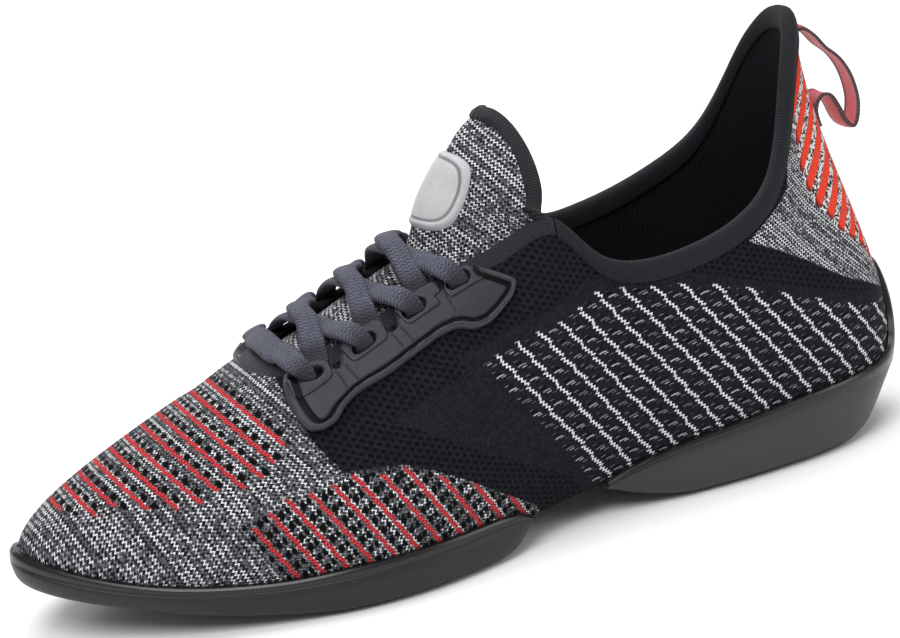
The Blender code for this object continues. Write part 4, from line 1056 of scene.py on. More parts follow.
def lace_strip(name, path, ups, node, width=None, thick=None, both=False):
    """A flat woven lace with rounded edges along a path."""
    path, ups = np.asarray(path, float), np.asarray(ups, float)
    w = (width if width is not None else np.full(len(path), LACE_W)) / 2
    t = (thick if thick is not None else np.full(len(path), BULK)) / 2
    along = np.gradient(path, axis=0)
    along /= np.linalg.norm(along, axis=1)[:, None]
    ups = ups - along * np.sum(ups * along, 1)[:, None]
    ups /= np.linalg.norm(ups, axis=1)[:, None]
    across = np.cross(along, ups)
    n = 24
    ring = superellipse(n, 1.0, 1.0, 2.5)
    g = path[:, None] + across[:, None] * (w[:, None] * ring[None, :, 0])[:, :, None] + ups[:, None] * (t[:, None] * ring[None, :, 1])[:, :, None]
    verts, faces = loops_solid(g, False)
    arc = np.concatenate([[0], np.cumsum(np.linalg.norm(np.diff(path, axis=0), axis=1))])
    left = np.minimum(arc, arc[-1] - arc) if both else arc[-1] - arc
    attrs = {"along": np.repeat(arc, n), "across": (ring[None, :, 0] * w[:, None]).ravel(), "tip": np.repeat(left, n)}
    obj = make_piece(name, verts, faces, [LACE], attrs, sharp=80)
    if node:
        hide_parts(*node)
    return obj


def smooth_path(points, ups, spacing=0.6, rounds=90):
    p = through(np.asarray(points, float), 14)
    w = through(np.asarray(ups, float), 14)
    for _ in range(rounds):
        p[1:-1] = 0.25 * p[:-2] + 0.5 * p[1:-1] + 0.25 * p[2:]
        w[1:-1] = 0.25 * w[:-2] + 0.5 * w[1:-1] + 0.25 * w[2:]
    s = np.concatenate([[0], np.cumsum(np.linalg.norm(np.diff(p, axis=0), axis=1))])
    at = np.linspace(0, s[-1], max(8, int(s[-1] / spacing)))
    return (np.stack([np.interp(at, s, p[:, k]) for k in range(3)], 1), np.stack([np.interp(at, s, w[:, k]) for k in range(3)], 1))


def wall_up(u, v, inner):
    """Outward direction of the wall at u, v."""
    a = wrap([u], [v], [0.0], inner)[0]
    b = wrap([u], [v], [1.0], inner)[0]
    return b - a


def into_slot(u, v, inner, lean_u, low=2.7):
    """The end of a strand: slantwise over the plate, then down through its slot; points and upward directions, from the
    slot out."""
    n = wall_up(u, v, inner)
    outward = wrap([u], [v + 1.0], [1.0], inner)[0] - wrap([u], [v], [1.0], inner)[0]
    rows = []
    for at, h, lean in ((v + 1.3, -1.0, 0.9), (v + 1.15, 0.5, 0.8), (v + 0.3, 2.1, 0.5), (v - 1.5, 3.0, 0.12), (v - 3.6, 0.4 * low + 2.0, 0.0)):
        rows.append((wrap([u + max(v - at, 0.0) * lean_u], [at], [h], inner)[0], n * (1 - lean) + outward * lean))
    rows.append((wrap([u + (v + 0.6) * lean_u], [-0.6], [low], inner)[0], wall_up(u, 0.5, inner)))
    return rows


def lace_route(k, from_inner):
    """Out from under one plate beside its slot, over the tongue, on to the other plate and down through the next slot."""
    us, (ue, ve) = EYELETS[k][0] - (1.8 if k == 0 else 3.0), EYELETS[k + 1]
    cx, cz = CROSSINGS[k][0] - 0.8, CROSSINGS[k][1] + 0.8
    top = cz - BULK / 2 - (BULK - 0.3 if from_inner else 0.0)
    seq = []
    for v, h in ((5.0, 0.75), (2.4, 0.75), (-1.8, 1.1)) if k == 0 else ((4.0, 0.75), (0.8, 0.8), (-1.6, 1.3)):
        seq.append((wrap([us], [v], [h], from_inner)[0], wall_up(us, max(v, 0.0), from_inner)))
    if from_inner:
        over = ((-0.9, 8.0, -0.4), (-0.4, 1.0, -0.2), (1.2, -5.0, 0.0), (4.6, -10.5, -0.2))
    else:
        over = ((-0.1, -8.0, -0.2), (-0.3, -4.0, 0.0), (0.0, 0.0, 0.0), (3.0, 7.0, -0.2), (5.6, 11.5, -0.6))
    for dx, y, dz in over:
        q = np.array([cx + dx, y, top - y * y / 46.0 + dz])
        axis = np.array([q[0], 0.0, top - 23.0])
        seq.append((q, (q - axis) / np.linalg.norm(q - axis)))
    seq += into_slot(ue, ve, not from_inner, 0.60)[::-1]
    return smooth_path([a for a, _ in seq], [b for _, b in seq], rounds=45)


def taper(path, narrow_from, amount, power=1.0):
    s = np.concatenate([[0], np.cumsum(np.linalg.norm(np.diff(path, axis=0), axis=1))])
    left = s[-1] - s
    return 1 - amount * (1 - soft(left, narrow_from * 0.35, narrow_from))


def build_laces():
    u, v = EYELETS[0]
    crown = np.array([-50.9, 0.0, 66.3 - BULK / 2])
    tilt = np.array([-0.55, 0.0, 0.83])
    mid = [(crown + [0.5, -9.0, -1.5], tilt + [0.0, -0.38, 0.0]), (crown, tilt), (crown + [0.5, 9.0, -1.5], tilt + [0.0, 0.38, 0.0])]
    seq = into_slot(u, v, False, 0.80, 2.6) + [(a, b / np.linalg.norm(b)) for a, b in mid] + into_slot(u, v, True, 0.80, 2.6)[::-1]
    path, up = smooth_path([a for a, _ in seq], [b for _, b in seq], rounds=45)
    s = np.linspace(0, 1, len(path))
    w = (LACE_W + 0.6) * (1 - 0.28 * (1 - soft(np.minimum(s, 1 - s), 0.05, 0.22)))
    flat = BULK * (0.72 + 0.28 * soft(np.minimum(s, 1 - s), 0.08, 0.2))
    lace_strip("lace_bar_woven", path, up, ["lace_bar"], width=w, thick=flat, both=True)
    for k in range(len(CROSSINGS)):
        for tag, from_inner in (("under", True), ("over", False)):
            path, up = lace_route(k, from_inner)
            w = LACE_W * taper(path, 8.0, 0.2)
            s = np.concatenate([[0], np.cumsum(np.linalg.norm(np.diff(path, axis=0), axis=1))])
            w = w * (1 + 0.04 * np.sin(s / 4.1 + k))
            flat = BULK * (0.42 + 0.58 * soft(s, 2.5, 8.0)) * (0.72 + 0.28 * soft(s[-1] - s, 5.0, 11.0))
            lace_strip("lace_%d_%s" % (k + 1, tag), path, up, ["lace_cross_%d" % (k + 1)], width=w, thick=flat, both=True)


# ---------------------------------------------------------------- heel pull
def build_pull():
    line = ((111.5, 113.0), (113.4, 113.35), (115.7, 112.9), (118.4, 110.4), (121.0, 106.8), (125.0, 102.6), (127.8, 97.0), (129.0, 90.0), (128.0, 84.4), (126.2, 82.6), (124.2, 84.8), (122.6, 89.0), (120.8, 92.6), (118.8, 93.6), (117.0, 92.6), (115.8, 89.9), (115.95, 87.0), (116.4, 85.0))
    fine = through(line, 12)
    path = np.array([(x, 0.0, z) for x, z in fine])
    along = np.gradient(path, axis=0)
    along /= np.linalg.norm(along, axis=1)[:, None]
    ups = np.cross(along, [0, 1, 0])
    arc = np.concatenate([[0], np.cumsum(np.linalg.norm(np.diff(path, axis=0), axis=1))])
    n, half = 24, RIBBON_W / 2
    vs = np.linspace(-1, 1, n + 1)
    twist = 0.28 * np.sin(arc / arc[-1] * math.pi)
    loops = []
    for i in range(len(path)):
        across = np.array([0.0, 1.0, 0.0])
        bow = 0.35 * (1 - vs**2)
        top = path[i] + across * (vs * half)[:, None] + ups[i] * (bow + RIBBON_T / 2 + twist[i] * vs)[:, None]
        low = path[i] + across * (vs * half)[:, None] + ups[i] * (bow - RIBBON_T / 2 + twist[i] * vs)[:, None]
        loops.append(np.concatenate([top, low[::-1]]))
    verts, faces = loops_solid(loops, False)
    side = np.concatenate([vs * half, vs[::-1] * half])
    attrs = {"along": np.repeat(arc, 2 * n + 2), "across": np.tile(side, len(path))}
    obj = make_piece("heel_ribbon", verts, faces, [ribbon_material()], attrs, sharp=60)
    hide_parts("heel_pull")


# ---------------------------------------------------------------- footbed
def build_footbed():
    rows = np.linspace(0.02, ROWS - 0.02, 160)
    def edge(r):
        p = foot_edge(r, GAP + 0.25)
        p[:, 2] += BOARD + GAP
        return p
    m = 40
    low = ladder(rows, edge, m)
    v = np.linspace(-1, 1, m + 1)[None, :]
    x = low[:, :, 0].mean(1)
    heel = np.clip((x - 20) / 60, 0, 1)[:, None]
    arch = np.exp(-((x - 22) / 26) ** 2)[:, None]
    thick = INSOLE + 1.6 * heel * v**4 + 1.8 * arch * np.clip(v, 0, 1) ** 2
    thick = thick * (1 - 0.35 * soft(np.abs(v), 0.9, 1.0))
    thick = thick * np.clip((x[0] - x) / 4, 0.6, 1)[:, None] * np.clip((x - x[-1]) / 4, 0.6, 1)[:, None]
    high = low.copy()
    high[:, :, 2] += thick
    verts, faces = plate_between(high, low)
    obj = make_piece("footbed", verts, faces, [footbed_material()], sharp=60)
    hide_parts("insole")


# ---------------------------------------------------------------- materials
def melange(g, along, across, seed, more=0.0, pitch=1.3, wale=1.15, skip=0.0, patch=2.5):
    """Rows of small zigzag stitches: white where that yarn comes up, on dark speckled ground."""
    row = g.floor(across * (1.0 / pitch))
    c = g.fract(across * (1.0 / pitch)) - 0.5
    own = g.white(row, seed, 3.0)
    t = along * (1.0 / wale) + own
    stroke = g.under(g.abs(c - g.tri(t) * 0.29), 0.185, 0.075)
    cell = g.white(g.floor(t * 2.0 + 0.5), row, seed)
    patchy = g.noise(g.vec(along * 0.16, row * 3.7 + seed, seed), 1.0, 2.0, 0.7)
    level = g.clamp((patchy - 0.5) * patch + (own - 0.5) * (1.7 - skip * 0.5) + (cell - 0.5) * 1.9 + g.fract(row * 0.5) * (skip * 2.0) + (0.34 + more - skip * 0.5))
    speck = g.ramp(g.white(g.floor(along * 2.1), g.floor(across * 2.3), seed), 0.45, 1.0)
    col = g.mix(speck, (0.0075, 0.0075, 0.0100), (0.100, 0.104, 0.122))
    col = g.mix(stroke * (level * 0.9 + 0.1), col, (0.80, 0.81, 0.84))
    return col, stroke * (0.16 + level * 0.2) + speck * 0.05


def rows_of(g, p, pitch, start, squeeze):
    """Nearest row's number, and the distance from it."""
    t = (p - start) * (1.0 / pitch)
    k = g.floor(t + 0.5)
    return k, (t - k) * (pitch * squeeze)


def red_of(g, along, d, shade):
    """A red row: blocks of herringbone stitches, each a step off the last."""
    step = (g.fract(along * (1.0 / 3.7)) - 0.5) * 0.55
    dd = d - step
    rag = g.tri(along * (1.0 / 0.95)) * 0.08
    body = g.under(g.abs(dd) + rag, 0.56, 0.1)
    herring = g.tri((along + g.abs(dd) * 0.9) * (1.0 / 0.95))
    tone = g.mix(g.ramp(herring, -0.6, 0.4), tuple(c * shade for c in (0.25, 0.017, 0.022)), tuple(c * shade for c in (0.68, 0.056, 0.062)))
    return body, tone, herring


def hole_of(g, along, k, d, at, pitch, wide, tall):
    a = (g.fract((along + g.fract(k * 0.5) * pitch) * (1.0 / pitch)) - 0.5) * pitch
    dd = g.abs(d - at)
    a = g.abs(a + (d - at) * 0.35)
    r = g.sqrt(a * a * (1.0 / (wide * wide)) + dd * dd * (1.0 / (tall * tall)))
    r = g.max(r * 0.9, g.max(a * (1.0 / wide), dd * (1.0 / tall)))
    return g.under(r, 1.0, 0.2)


def ground_knit(g, x, z):
    """Black ground: open mesh with offset rows of small holes, and close fine knit without holes."""
    along_m = z * 0.93 + x * 0.36
    rows_m = x * 0.93 - z * 0.36
    row = g.floor(along_m * (1.0 / 1.55))
    a_m = (g.fract(rows_m * (1.0 / 2.1) + g.fract(row * 0.5)) - 0.5) * 2.1
    b_m = (g.fract(along_m * (1.0 / 1.55)) - 0.5) * 1.55
    r_m = g.sqrt(a_m * a_m * (1.0 / (0.62 * 0.62)) + b_m * b_m * (1.0 / (0.44 * 0.44)))
    mesh_hole = g.under(r_m, 1.0, 0.25)
    yarn = g.white(g.floor(rows_m * 1.9), g.floor(along_m * 2.1))
    mesh_col = g.mix(yarn, (0.0042, 0.0046, 0.0066), (0.0104, 0.0112, 0.0154))
    mesh_col = g.mix(mesh_hole, mesh_col, (0.0012, 0.0012, 0.0014))
    mesh_h = (1.0 - mesh_hole) * 0.34 + yarn * 0.05
    row_f = g.floor(along_m * (1.0 / 0.8))
    c_f = g.fract(along_m * (1.0 / 0.8)) - 0.5
    w_f = g.fract((rows_m + g.abs(c_f) * 0.88) * (1.0 / 0.72)) - 0.5
    lump_f = (1.0 - w_f * w_f * 4.0) * (1.0 - c_f * c_f * 3.4)
    fine_col = g.mix(g.white(g.floor(rows_m * (1.0 / 0.72)), row_f), (0.0056, 0.0060, 0.0084), (0.0126, 0.0134, 0.0180))
    is_fine = g.max(g.inside(g.attr("fine"), 0.4), g.inside(g.attr("quarter") + 3.5, 0.6))
    col = g.mix(is_fine, mesh_col, fine_col)
    return col, mesh_h * (1.0 - is_fine) + lump_f * is_fine * 0.16


def fore_material():
    """Forefoot: melange with red rows over the vamp, a side panel of red rows, and the black mesh behind it."""
    g = Graph("knit_fore", 0.9, 0.12)
    x, y, z = g.xyz()
    col, h = ground_knit(g, x, z)
    wobble = (g.noise(g.vec(x, y, z), 0.25, 2.0) - 0.5) * 0.7
    girth, pv = g.attr("girth"), g.attr("pv")
    m_mel = g.inside(g.attr("melange") + (g.noise(g.vec(x, y, z), 0.9, 1.0) - 0.5) * 1.2, 0.25)
    mel_col, mel_h = melange(g, girth + wobble, pv * 0.81 + g.min(z - 38.0, 0.0) * -0.26 + wobble * 0.6, 1.0, -0.04, 1.42, 1.2, 0.85, 2.9)
    col = g.mix(m_mel, col, mel_col)
    h = h * (1.0 - m_mel) + mel_h * m_mel
    k_v, d_v = rows_of(g, pv + wobble * 0.35, 6.3, -24.5, 0.81)
    zone = g.attr("vamp")
    hole_v = hole_of(g, girth, k_v, d_v, 1.62, 4.2, 1.1, 0.80) * g.inside(zone + 0.3, 0.4) * m_mel
    col = g.mix(hole_v, col, (0.0015, 0.0015, 0.002))
    h = h - hole_v * 0.7
    body_v, tone_v, herring_v = red_of(g, girth, d_v, 1.0)
    red_v = g.inside(zone + (g.white(k_v, 3.0) - 0.5) * 3.0, 0.5) * body_v * m_mel
    col = g.mix(red_v, col, tone_v)
    h = h + red_v * (0.25 + herring_v * 0.08)

    pp, panel = g.attr("pp"), g.attr("panel")
    along_p = (x * 0.55 - z) * (1.0 / 1.141)
    pan_col, pan_h = melange(g, along_p + wobble, pp * 0.876 + wobble * 0.6, 5.0, -0.16, 1.42, 1.2, 0.5, 2.9)
    near_edge = g.ramp(g.attr("melange"), -9.0, 2.0, 0.45, 1.0)
    pan_col = g.mix(near_edge, (0.010, 0.010, 0.012), pan_col)
    is_pan = g.inside(panel + 1.0, 0.6)
    col = g.mix(is_pan, col, pan_col)
    h = h * (1.0 - is_pan) + pan_h * is_pan
    k_p, d_p = rows_of(g, pp + wobble * 0.4, 6.4, -62.8, 1.0 / 1.141)
    hole_p = g.max(hole_of(g, along_p, k_p, d_p, 1.9, 3.5, 0.95, 0.72), hole_of(g, along_p + 1.75, k_p, d_p, -1.85, 3.5, 0.8, 0.6)) * g.inside(panel + 0.3, 0.4)
    col = g.mix(hole_p, col, (0.0015, 0.0015, 0.002))
    h = h - hole_p * 0.7
    body_p, tone_p, herring_p = red_of(g, along_p, d_p, 0.92)
    red_p = g.inside(panel + (g.white(k_p, 8.0) - 0.5) * 2.0, 0.5) * body_p
    col = g.mix(red_p, col, tone_p)
    h = h + red_p * (0.25 + herring_p * 0.08)
    return g.finish(col, h)


def white_lines(g, x, z, col, h):
    """White zigzag lines down the quarter, with loose ticks and small dark openings between them."""
    pq, quarter = g.attr("pq"), g.attr("quarter")
    wave = (g.noise(g.vec(x, z, 0.0), 0.09, 2.0) - 0.5) * 1.6
    k_q, d_q = rows_of(g, pq + wave, 7.43, 27.9, 1.0 / 1.193)
    q0 = z * 0.838 - x * 0.545
    m = (pq + wave - 27.9) * (1.0 / 7.43)
    k_m = g.floor(m)
    d_m = (m - k_m - 0.5) * 6.23

    def tick(phase, mid, half, thin, seed):
        u = q0 * (1.0 / 4.9) + phase + g.white(k_m, 2.0) * 0.9
        t = (g.fract(u) - 0.5) * 4.9
        on = g.white(g.floor(u), k_m, seed)
        off = d_m - mid + (on - 0.5) * 0.5
        return g.under(g.abs(t + off * 0.40 + off * off * 0.10), thin, 0.07) * g.under(g.abs(off), half, 0.15) * g.ramp(on, 0.05, 0.9, 0.25, 1.0)

    in_t = g.inside(quarter - 0.5, 0.4)
    dark = g.max(tick(0.30, -0.3, 0.85, 0.34, 15.0), tick(0.82, 0.5, 0.6, 0.26, 16.0)) * in_t
    col = g.mix(dark * 0.9, col, (0.0012, 0.0012, 0.0016))
    h = h - dark * 0.3
    ticks = g.max(tick(0.50, -0.25, 1.15, 0.19, 11.0), tick(0.68, 0.35, 0.65, 0.15, 12.0) * 0.8)
    ticks = g.max(ticks, g.max(tick(0.12, -0.9, 0.6, 0.12, 13.0) * 0.45, tick(0.92, 1.0, 0.7, 0.12, 14.0) * 0.45)) * in_t
    col = g.mix(ticks, col, (0.40, 0.41, 0.43))
    q = q0 + g.white(k_q, 1.0) * 4.4
    step = (g.fract(q * (1.0 / 4.9)) - 0.5) * 0.72
    zig = g.tri(q * (1.0 / 1.12))
    off = d_q + step - zig * 0.42
    line = g.under(g.abs(off), 0.37, 0.12) * g.inside(quarter + (g.white(k_q, 5.0) - 0.5) * 1.0, 0.35) * g.inside(pq - 24.4, 0.3)
    tone = g.mix(g.ramp(g.noise(g.vec(x, z, 1.0), 2.2, 2.0), 0.3, 0.7), (0.56, 0.57, 0.59), (0.82, 0.83, 0.84))
    return g.mix(line, col, tone), h + line * 0.35 + ticks * 0.2


def quarter_material():
    g = Graph("knit_quarter", 0.9, 0.12)
    x, y, z = g.xyz()
    col, h = ground_knit(g, x, z)
    col, h = white_lines(g, x, z, col, h)
    return g.finish(col, h)


def heel_material():
    """Heel: speckled black-and-white strips, a grey wedge, and orange-red bars that meet over the back seam."""
    g = Graph("knit_heel", 0.9, 0.12)
    x, y, z = g.xyz()
    col, h = ground_knit(g, x, z)
    arc, heel = g.attr("arc"), g.attr("heel")
    wobble = (g.noise(g.vec(x, y, z), 0.25, 2.0) - 0.5) * 0.5
    wed_col, wed_h = melange(g, (arc + z) * 0.707 + wobble, (arc - z) * 0.707 + wobble, 9.0, 0.38, 1.1, 1.0, 0.0, 3.0)
    wedge_in = g.inside(g.attr("wedge"), 0.4)
    col = g.mix(wedge_in, col, wed_col)
    h = h * (1.0 - wedge_in) + wed_h * wedge_in
    t_b = (z + arc * 0.68 - 110.0) * (1.0 / 6.6)
    k_b = g.floor(t_b + 0.5)
    d_b = (t_b - k_b) * 5.45
    across_b = arc * 0.827 - z * 0.562
    speck = g.white(g.floor(across_b * (1.0 / 0.62) + g.fract(g.floor(d_b * (1.0 / 0.55)) * 0.5)), g.floor(d_b * (1.0 / 0.55)), k_b)
    strip = g.mix(g.ramp(speck, 0.30, 0.62), (0.016, 0.016, 0.019), (0.62, 0.60, 0.60))
    strip_h = speck * 0.25
    in_heel = g.inside(heel + 1.2, 0.5)
    col = g.mix(in_heel, col, strip)
    h = h * (1.0 - in_heel) + strip_h * in_heel
    lump_b = g.tri((across_b + g.abs(d_b) * 0.8) * (1.0 / 0.95))
    end = heel + d_b * d_b * -0.25 + 0.8
    orange = g.mix(g.ramp(lump_b, -0.9, 0.5), (0.52, 0.030, 0.016), (0.86, 0.070, 0.034))
    orange = g.mix(g.ramp(end, 0.4, 2.6), (0.17, 0.012, 0.012), orange)
    bar = g.inside(end, 0.35) * g.under(g.abs(d_b + g.tri(across_b * (1.0 / 1.9)) * 0.14), 1.55, 0.14) * g.inside(g.attr("down") - 5.6, 0.2)
    col = g.mix(bar, col, orange)
    return g.finish(col, h + bar * (0.4 + lump_b * 0.1))


def lining_material():
    g = Graph("lining", 0.9, 0.2)
    arc, down = g.attr("arc"), g.attr("down")
    x, y, z = g.xyz()
    rib = g.sin(arc * (math.tau / 1.25))
    row = g.floor(down * (1.0 / 0.95))
    a = (g.fract(arc * (1.0 / 1.25) + g.fract(row * 0.5)) - 0.5) * 1.25
    b = (g.fract(down * (1.0 / 0.95)) - 0.5) * 0.95
    r = g.sqrt(a * a * (1 / 0.09) + b * b * (1 / 0.05))
    pore = g.under(r, 1.0, 0.3)
    soft_light = g.noise(g.vec(x, y, z), 0.08, 2.0)
    base = g.mix(soft_light, (0.0022, 0.0027, 0.0038), (0.0052, 0.0060, 0.0078))
    # painted highlight: the rib crests are coloured lighter
    base = g.mix(g.ramp(rib, 0.0, 0.9) * 0.7, base, (0.0125, 0.0145, 0.0195))
    col = g.mix(pore, base, (0.0012, 0.0012, 0.0016))
    return g.finish(col, rib * 0.06 - pore * 0.2)


def tape_material(name, tone, rough=0.78):
    """Folded woven tape: fine ribs across it and a line of small stitches by its lower edge."""
    g = Graph(name, rough, 0.22)
    g.bsdf.inputs["Sheen Weight"].default_value = 0.03
    along, across, depth = g.attr("along"), g.attr("across"), g.attr("depth")
    rib = g.sin(along * (math.tau / 0.78))
    wale = g.sin(across * (math.tau / 0.6) + g.floor(along / 0.39) * math.pi)
    wear = g.noise(g.vec(along * 0.12, across * 0.3, 0.0), 1.0, 3.0, 0.6)
    stitch = g.under(g.abs(depth - 4.5), 0.34, 0.1) * g.under(g.abs(g.fract(along * (1.0 / 2.3)) - 0.5), 0.33, 0.05)
    light = tuple(c * 2.1 for c in tone)
    dark = tuple(c * 0.55 for c in tone)
    # painted highlight: the rib crests are coloured lighter; the wear noise lightens and darkens the tape in patches
    col = g.mix(g.ramp(rib * 0.5 + wear * 1.2, 0.0, 1.2), dark, light)
    col = g.mix(stitch, col, tuple(c * 1.5 for c in tone))
    h = rib * 0.07 + wale * 0.03 + wear * 0.15 + stitch * 0.18 - g.under(g.abs(depth - 4.5), 0.5, 0.2) * 0.12
    return g.finish(col, h, g.ramp(wear, 0.2, 0.8, rough - 0.08, rough + 0.1))


def tongue_material():
    g = Graph("tongue_knit", 0.9, 0.12)
    u, v = g.attr("u"), g.attr("v")
    x, y, z = g.xyz()
    wobble = (g.noise(g.vec(x, y, z), 0.25, 2.0) - 0.5) * 0.8
    col, h = melange(g, v * 0.94 + u * 0.34, u * 0.94 - v * 0.34 + wobble, 31.0, 0.20, 1.25, 1.15, 0.0, 4.2)
    return g.finish(col, h)


def patch_material():
    """Satin moulded label, silvery white, bare."""
    g = Graph("patch", 0.42, 0.5)
    g.bsdf.inputs["Coat Weight"].default_value = 0.15
    g.bsdf.inputs["Coat Roughness"].default_value = 0.35
    x, y, z = g.xyz()
    n = g.noise(g.vec(x, y, z), 1.4, 3.0, 0.6)
    grain = g.noise(g.vec(x, y, z), 6.0, 2.0)
    ring = g.attr("ring")
    groove = g.under(g.abs(ring - 0.78), 0.035, 0.02)
    col = g.mix(n, (0.34, 0.345, 0.36), (0.50, 0.505, 0.515))
    # painted shade: the groove ring is coloured darker
    col = g.mix(groove, col, (0.16, 0.16, 0.17))
    return g.finish(col, grain * 0.05 + n * 0.06, g.ramp(n, 0.3, 0.7, 0.36, 0.5))


def plate_material():
    """Satin moulded plate: raised flat tabs round the slots, scored lines, and a groove inside the raised lip; painted
    highlights on the lip, along the outline and the slots' edges and on the tabs' bevels, painted shade in the groove
    and the scores, and a painted shadow at the tabs' feet.
    """
    g = Graph("lace_plate", 0.42, 0.26)
    x, y, z = g.xyz()
    low, frame, score, rim = g.attr("low"), g.attr("frame"), g.attr("score"), g.attr("rim")
    grain = g.noise(g.vec(x, y, z), 4.5, 3.0, 0.6)
    broad = g.noise(g.vec(x, y, z), 0.25, 2.0)
    gap = g.under(g.abs(low - 2.0), 0.52, 0.12)
    foot = g.under(g.abs(frame + 0.22), 0.16, 0.10)
    bevel = g.under(g.abs(frame - 0.16), 0.14, 0.10)
    line = g.under(score, 0.22, 0.14)
    lip = g.under(low, 1.25, 0.3) * g.ramp(rim, 0.1, 0.6)
    edge_highlight = g.under(rim, 0.35, 0.25)
    col = g.mix(broad, (0.0142, 0.0148, 0.0215), (0.0215, 0.0223, 0.0320))
    # painted highlight: the raised outer lip is coloured lighter
    col = g.mix(lip * 0.45, col, (0.034, 0.034, 0.040))
    # painted highlight: a lighter band along the plate's outline and the slots' edges
    col = g.mix(edge_highlight * 0.5, col, (0.055, 0.055, 0.062))
    # painted highlight: a lighter line on the tabs' bevels
    col = g.mix(bevel * 0.55, col, (0.070, 0.071, 0.080))
    # painted shadow at the tabs' feet, and painted shade in the scored lines
    col = g.mix(g.max(foot * 0.8, line * 0.7), col, (0.004, 0.004, 0.005))
    # painted shade: the groove inside the lip is coloured near-black
    col = g.mix(gap, col, (0.0012, 0.0012, 0.0015))
    rough = g.ramp(grain, 0.3, 0.7, 0.36, 0.5) + gap * 0.4
    step = g.ramp(frame, -0.14, 0.10)
    return g.finish(col, grain * 0.035 + step * 0.30 - line * 0.18 - gap * 0.45, rough)


def lace_material():
    """Plump woven lace: short crosswise ribs of slanted yarns, with painted highlights on their crests and painted
    shade along the sides and towards the ends.
    """
    g = Graph("lace", 0.8, 0.3)
    g.bsdf.inputs["Sheen Weight"].default_value = 0.05
    s, a = g.attr("along"), g.attr("across")
    rib = g.fract(s * (1.0 / 1.05) + g.tri(a * (1.0 / 1.9)) * 0.28) - 0.5
    row = g.floor(s * (1.0 / 1.05) + g.tri(a * (1.0 / 1.9)) * 0.28)
    swell = 1.0 - rib * rib * 4.0
    yarn = g.tri((a + rib * 0.5) * (1.0 / 0.62))
    tuft = g.noise(g.vec(s * 0.9, a * 0.9, 0.0), 1.0, 3.0, 0.7)
    lot = g.white(row, g.floor((a + rib * 0.5) * (1.0 / 0.62)))
    # painted highlight on each rib's crest and painted shade in its troughs; the yarn tones also differ at random
    col = g.mix(g.clamp(swell * 0.62 + yarn * 0.16 + lot * 0.22 + tuft * 0.5 - 0.28), (0.0120, 0.0124, 0.0190), (0.116, 0.119, 0.166))
    # painted shade: the lace is darkened along its rounded sides and towards its ends, where it runs into the slots
    edge = g.max(g.ramp(g.abs(a), 2.2, 3.1) * 0.35, g.ramp(g.attr("tip") + tuft * 3.0, 5.0, 11.5, 0.85, 0.0))
    col = g.mix(edge, col, (0.012, 0.012, 0.016))
    return g.finish(col, swell * 0.16 + yarn * 0.04 + tuft * 0.10)


def ribbon_material():
    g = Graph("ribbon", 0.5, 0.4)
    g.bsdf.inputs["Sheen Weight"].default_value = 0.05
    s, a = g.attr("along"), g.attr("across")
    rib = g.sin(s * (math.tau / 0.55))
    yarn = g.noise(g.vec(s * 0.25, a * 2.4, 0.0), 1.0, 3.0, 0.6)
    edge = g.ramp(g.abs(a), 3.35, 3.6)
    selv = g.sin(s * (math.tau / 1.1))
    col = g.mix(yarn, (0.48, 0.036, 0.054), (0.72, 0.080, 0.105))
    col = g.mix(edge, col, g.mix(g.ramp(selv, -0.4, 0.4), (0.02, 0.012, 0.014), (0.07, 0.025, 0.03)))
    return g.finish(col, rib * 0.035 + edge * (0.10 + selv * 0.04) + yarn * 0.04, g.ramp(yarn, 0.2, 0.8, 0.42, 0.6))


def rubber_material():
    """Moulded rubber: polished band along the top of the sidewall, fine matte grain below, tread underneath; the heel
    end is coloured lighter and warmer, partly the rubber's own tone and partly painted sheen, and the tread's grooves
    carry painted shade.
    """
    if "sole_rubber" in bpy.data.materials:
        return bpy.data.materials["sole_rubber"]
    g = Graph("sole_rubber", 0.5, 0.42)
    x, y, z = g.xyz()
    band, along = g.attr("band"), g.attr("along")
    grain = g.noise(g.vec(x, y, z), 3.2, 4.0, 0.65)
    broad = g.noise(g.vec(x, y, z), 0.06, 2.0)
    upper_band = g.ramp(band, 0.50, 0.66)
    part_line = g.under(g.abs(band - 0.575), 0.010, 0.012) * 0.35
    back = g.ramp(x, -20.0, 60.0)
    # the colour runs from dark bluish at the toe to a lighter warm grey at the heel: partly the rubber's own tone,
    # partly painted sheen
    col = g.mix(back, (0.0042, 0.0048, 0.0076), (0.0300, 0.0285, 0.0295))
    col = g.mix(broad * 0.3, col, (0.008, 0.008, 0.009))
    col = g.mix(upper_band, col, (0.0065, 0.0065, 0.0078))
    bottom = g.under(band, 0.03, 0.02)
    # tread: a shallow net of lozenges, its grooves coloured near-black as painted shade
    t1, t2 = g.abs(g.fract((x + y) * (1.0 / 5.0)) - 0.5), g.abs(g.fract((x - y) * (1.0 / 5.0)) - 0.5)
    net = g.max(g.ramp(t1, 0.40, 0.46), g.ramp(t2, 0.40, 0.46)) * bottom
    col = g.mix(net, col, (0.005, 0.005, 0.006))
    rough = g.ramp(grain, 0.25, 0.75, 0.36, 0.48) - upper_band * 0.14 + bottom * 0.18
    h = grain * 0.10 * (1.0 - upper_band * 0.85) - part_line * 0.30 - net * 0.7
    return g.finish(col, h, rough)


def footbed_material():
    g = Graph("footbed", 0.9, 0.15)
    x, y, z = g.xyz()
    weave = g.sin(x * (math.tau / 0.9)) * g.sin(y * (math.tau / 0.9))
    n = g.noise(g.vec(x, y, z), 0.3, 3.0, 0.6)
    col = g.mix(g.ramp(weave * 0.4 + n, 0.1, 1.0), (0.010, 0.010, 0.012), (0.034, 0.034, 0.038))
    return g.finish(col, weave * 0.06 + n * 0.25)


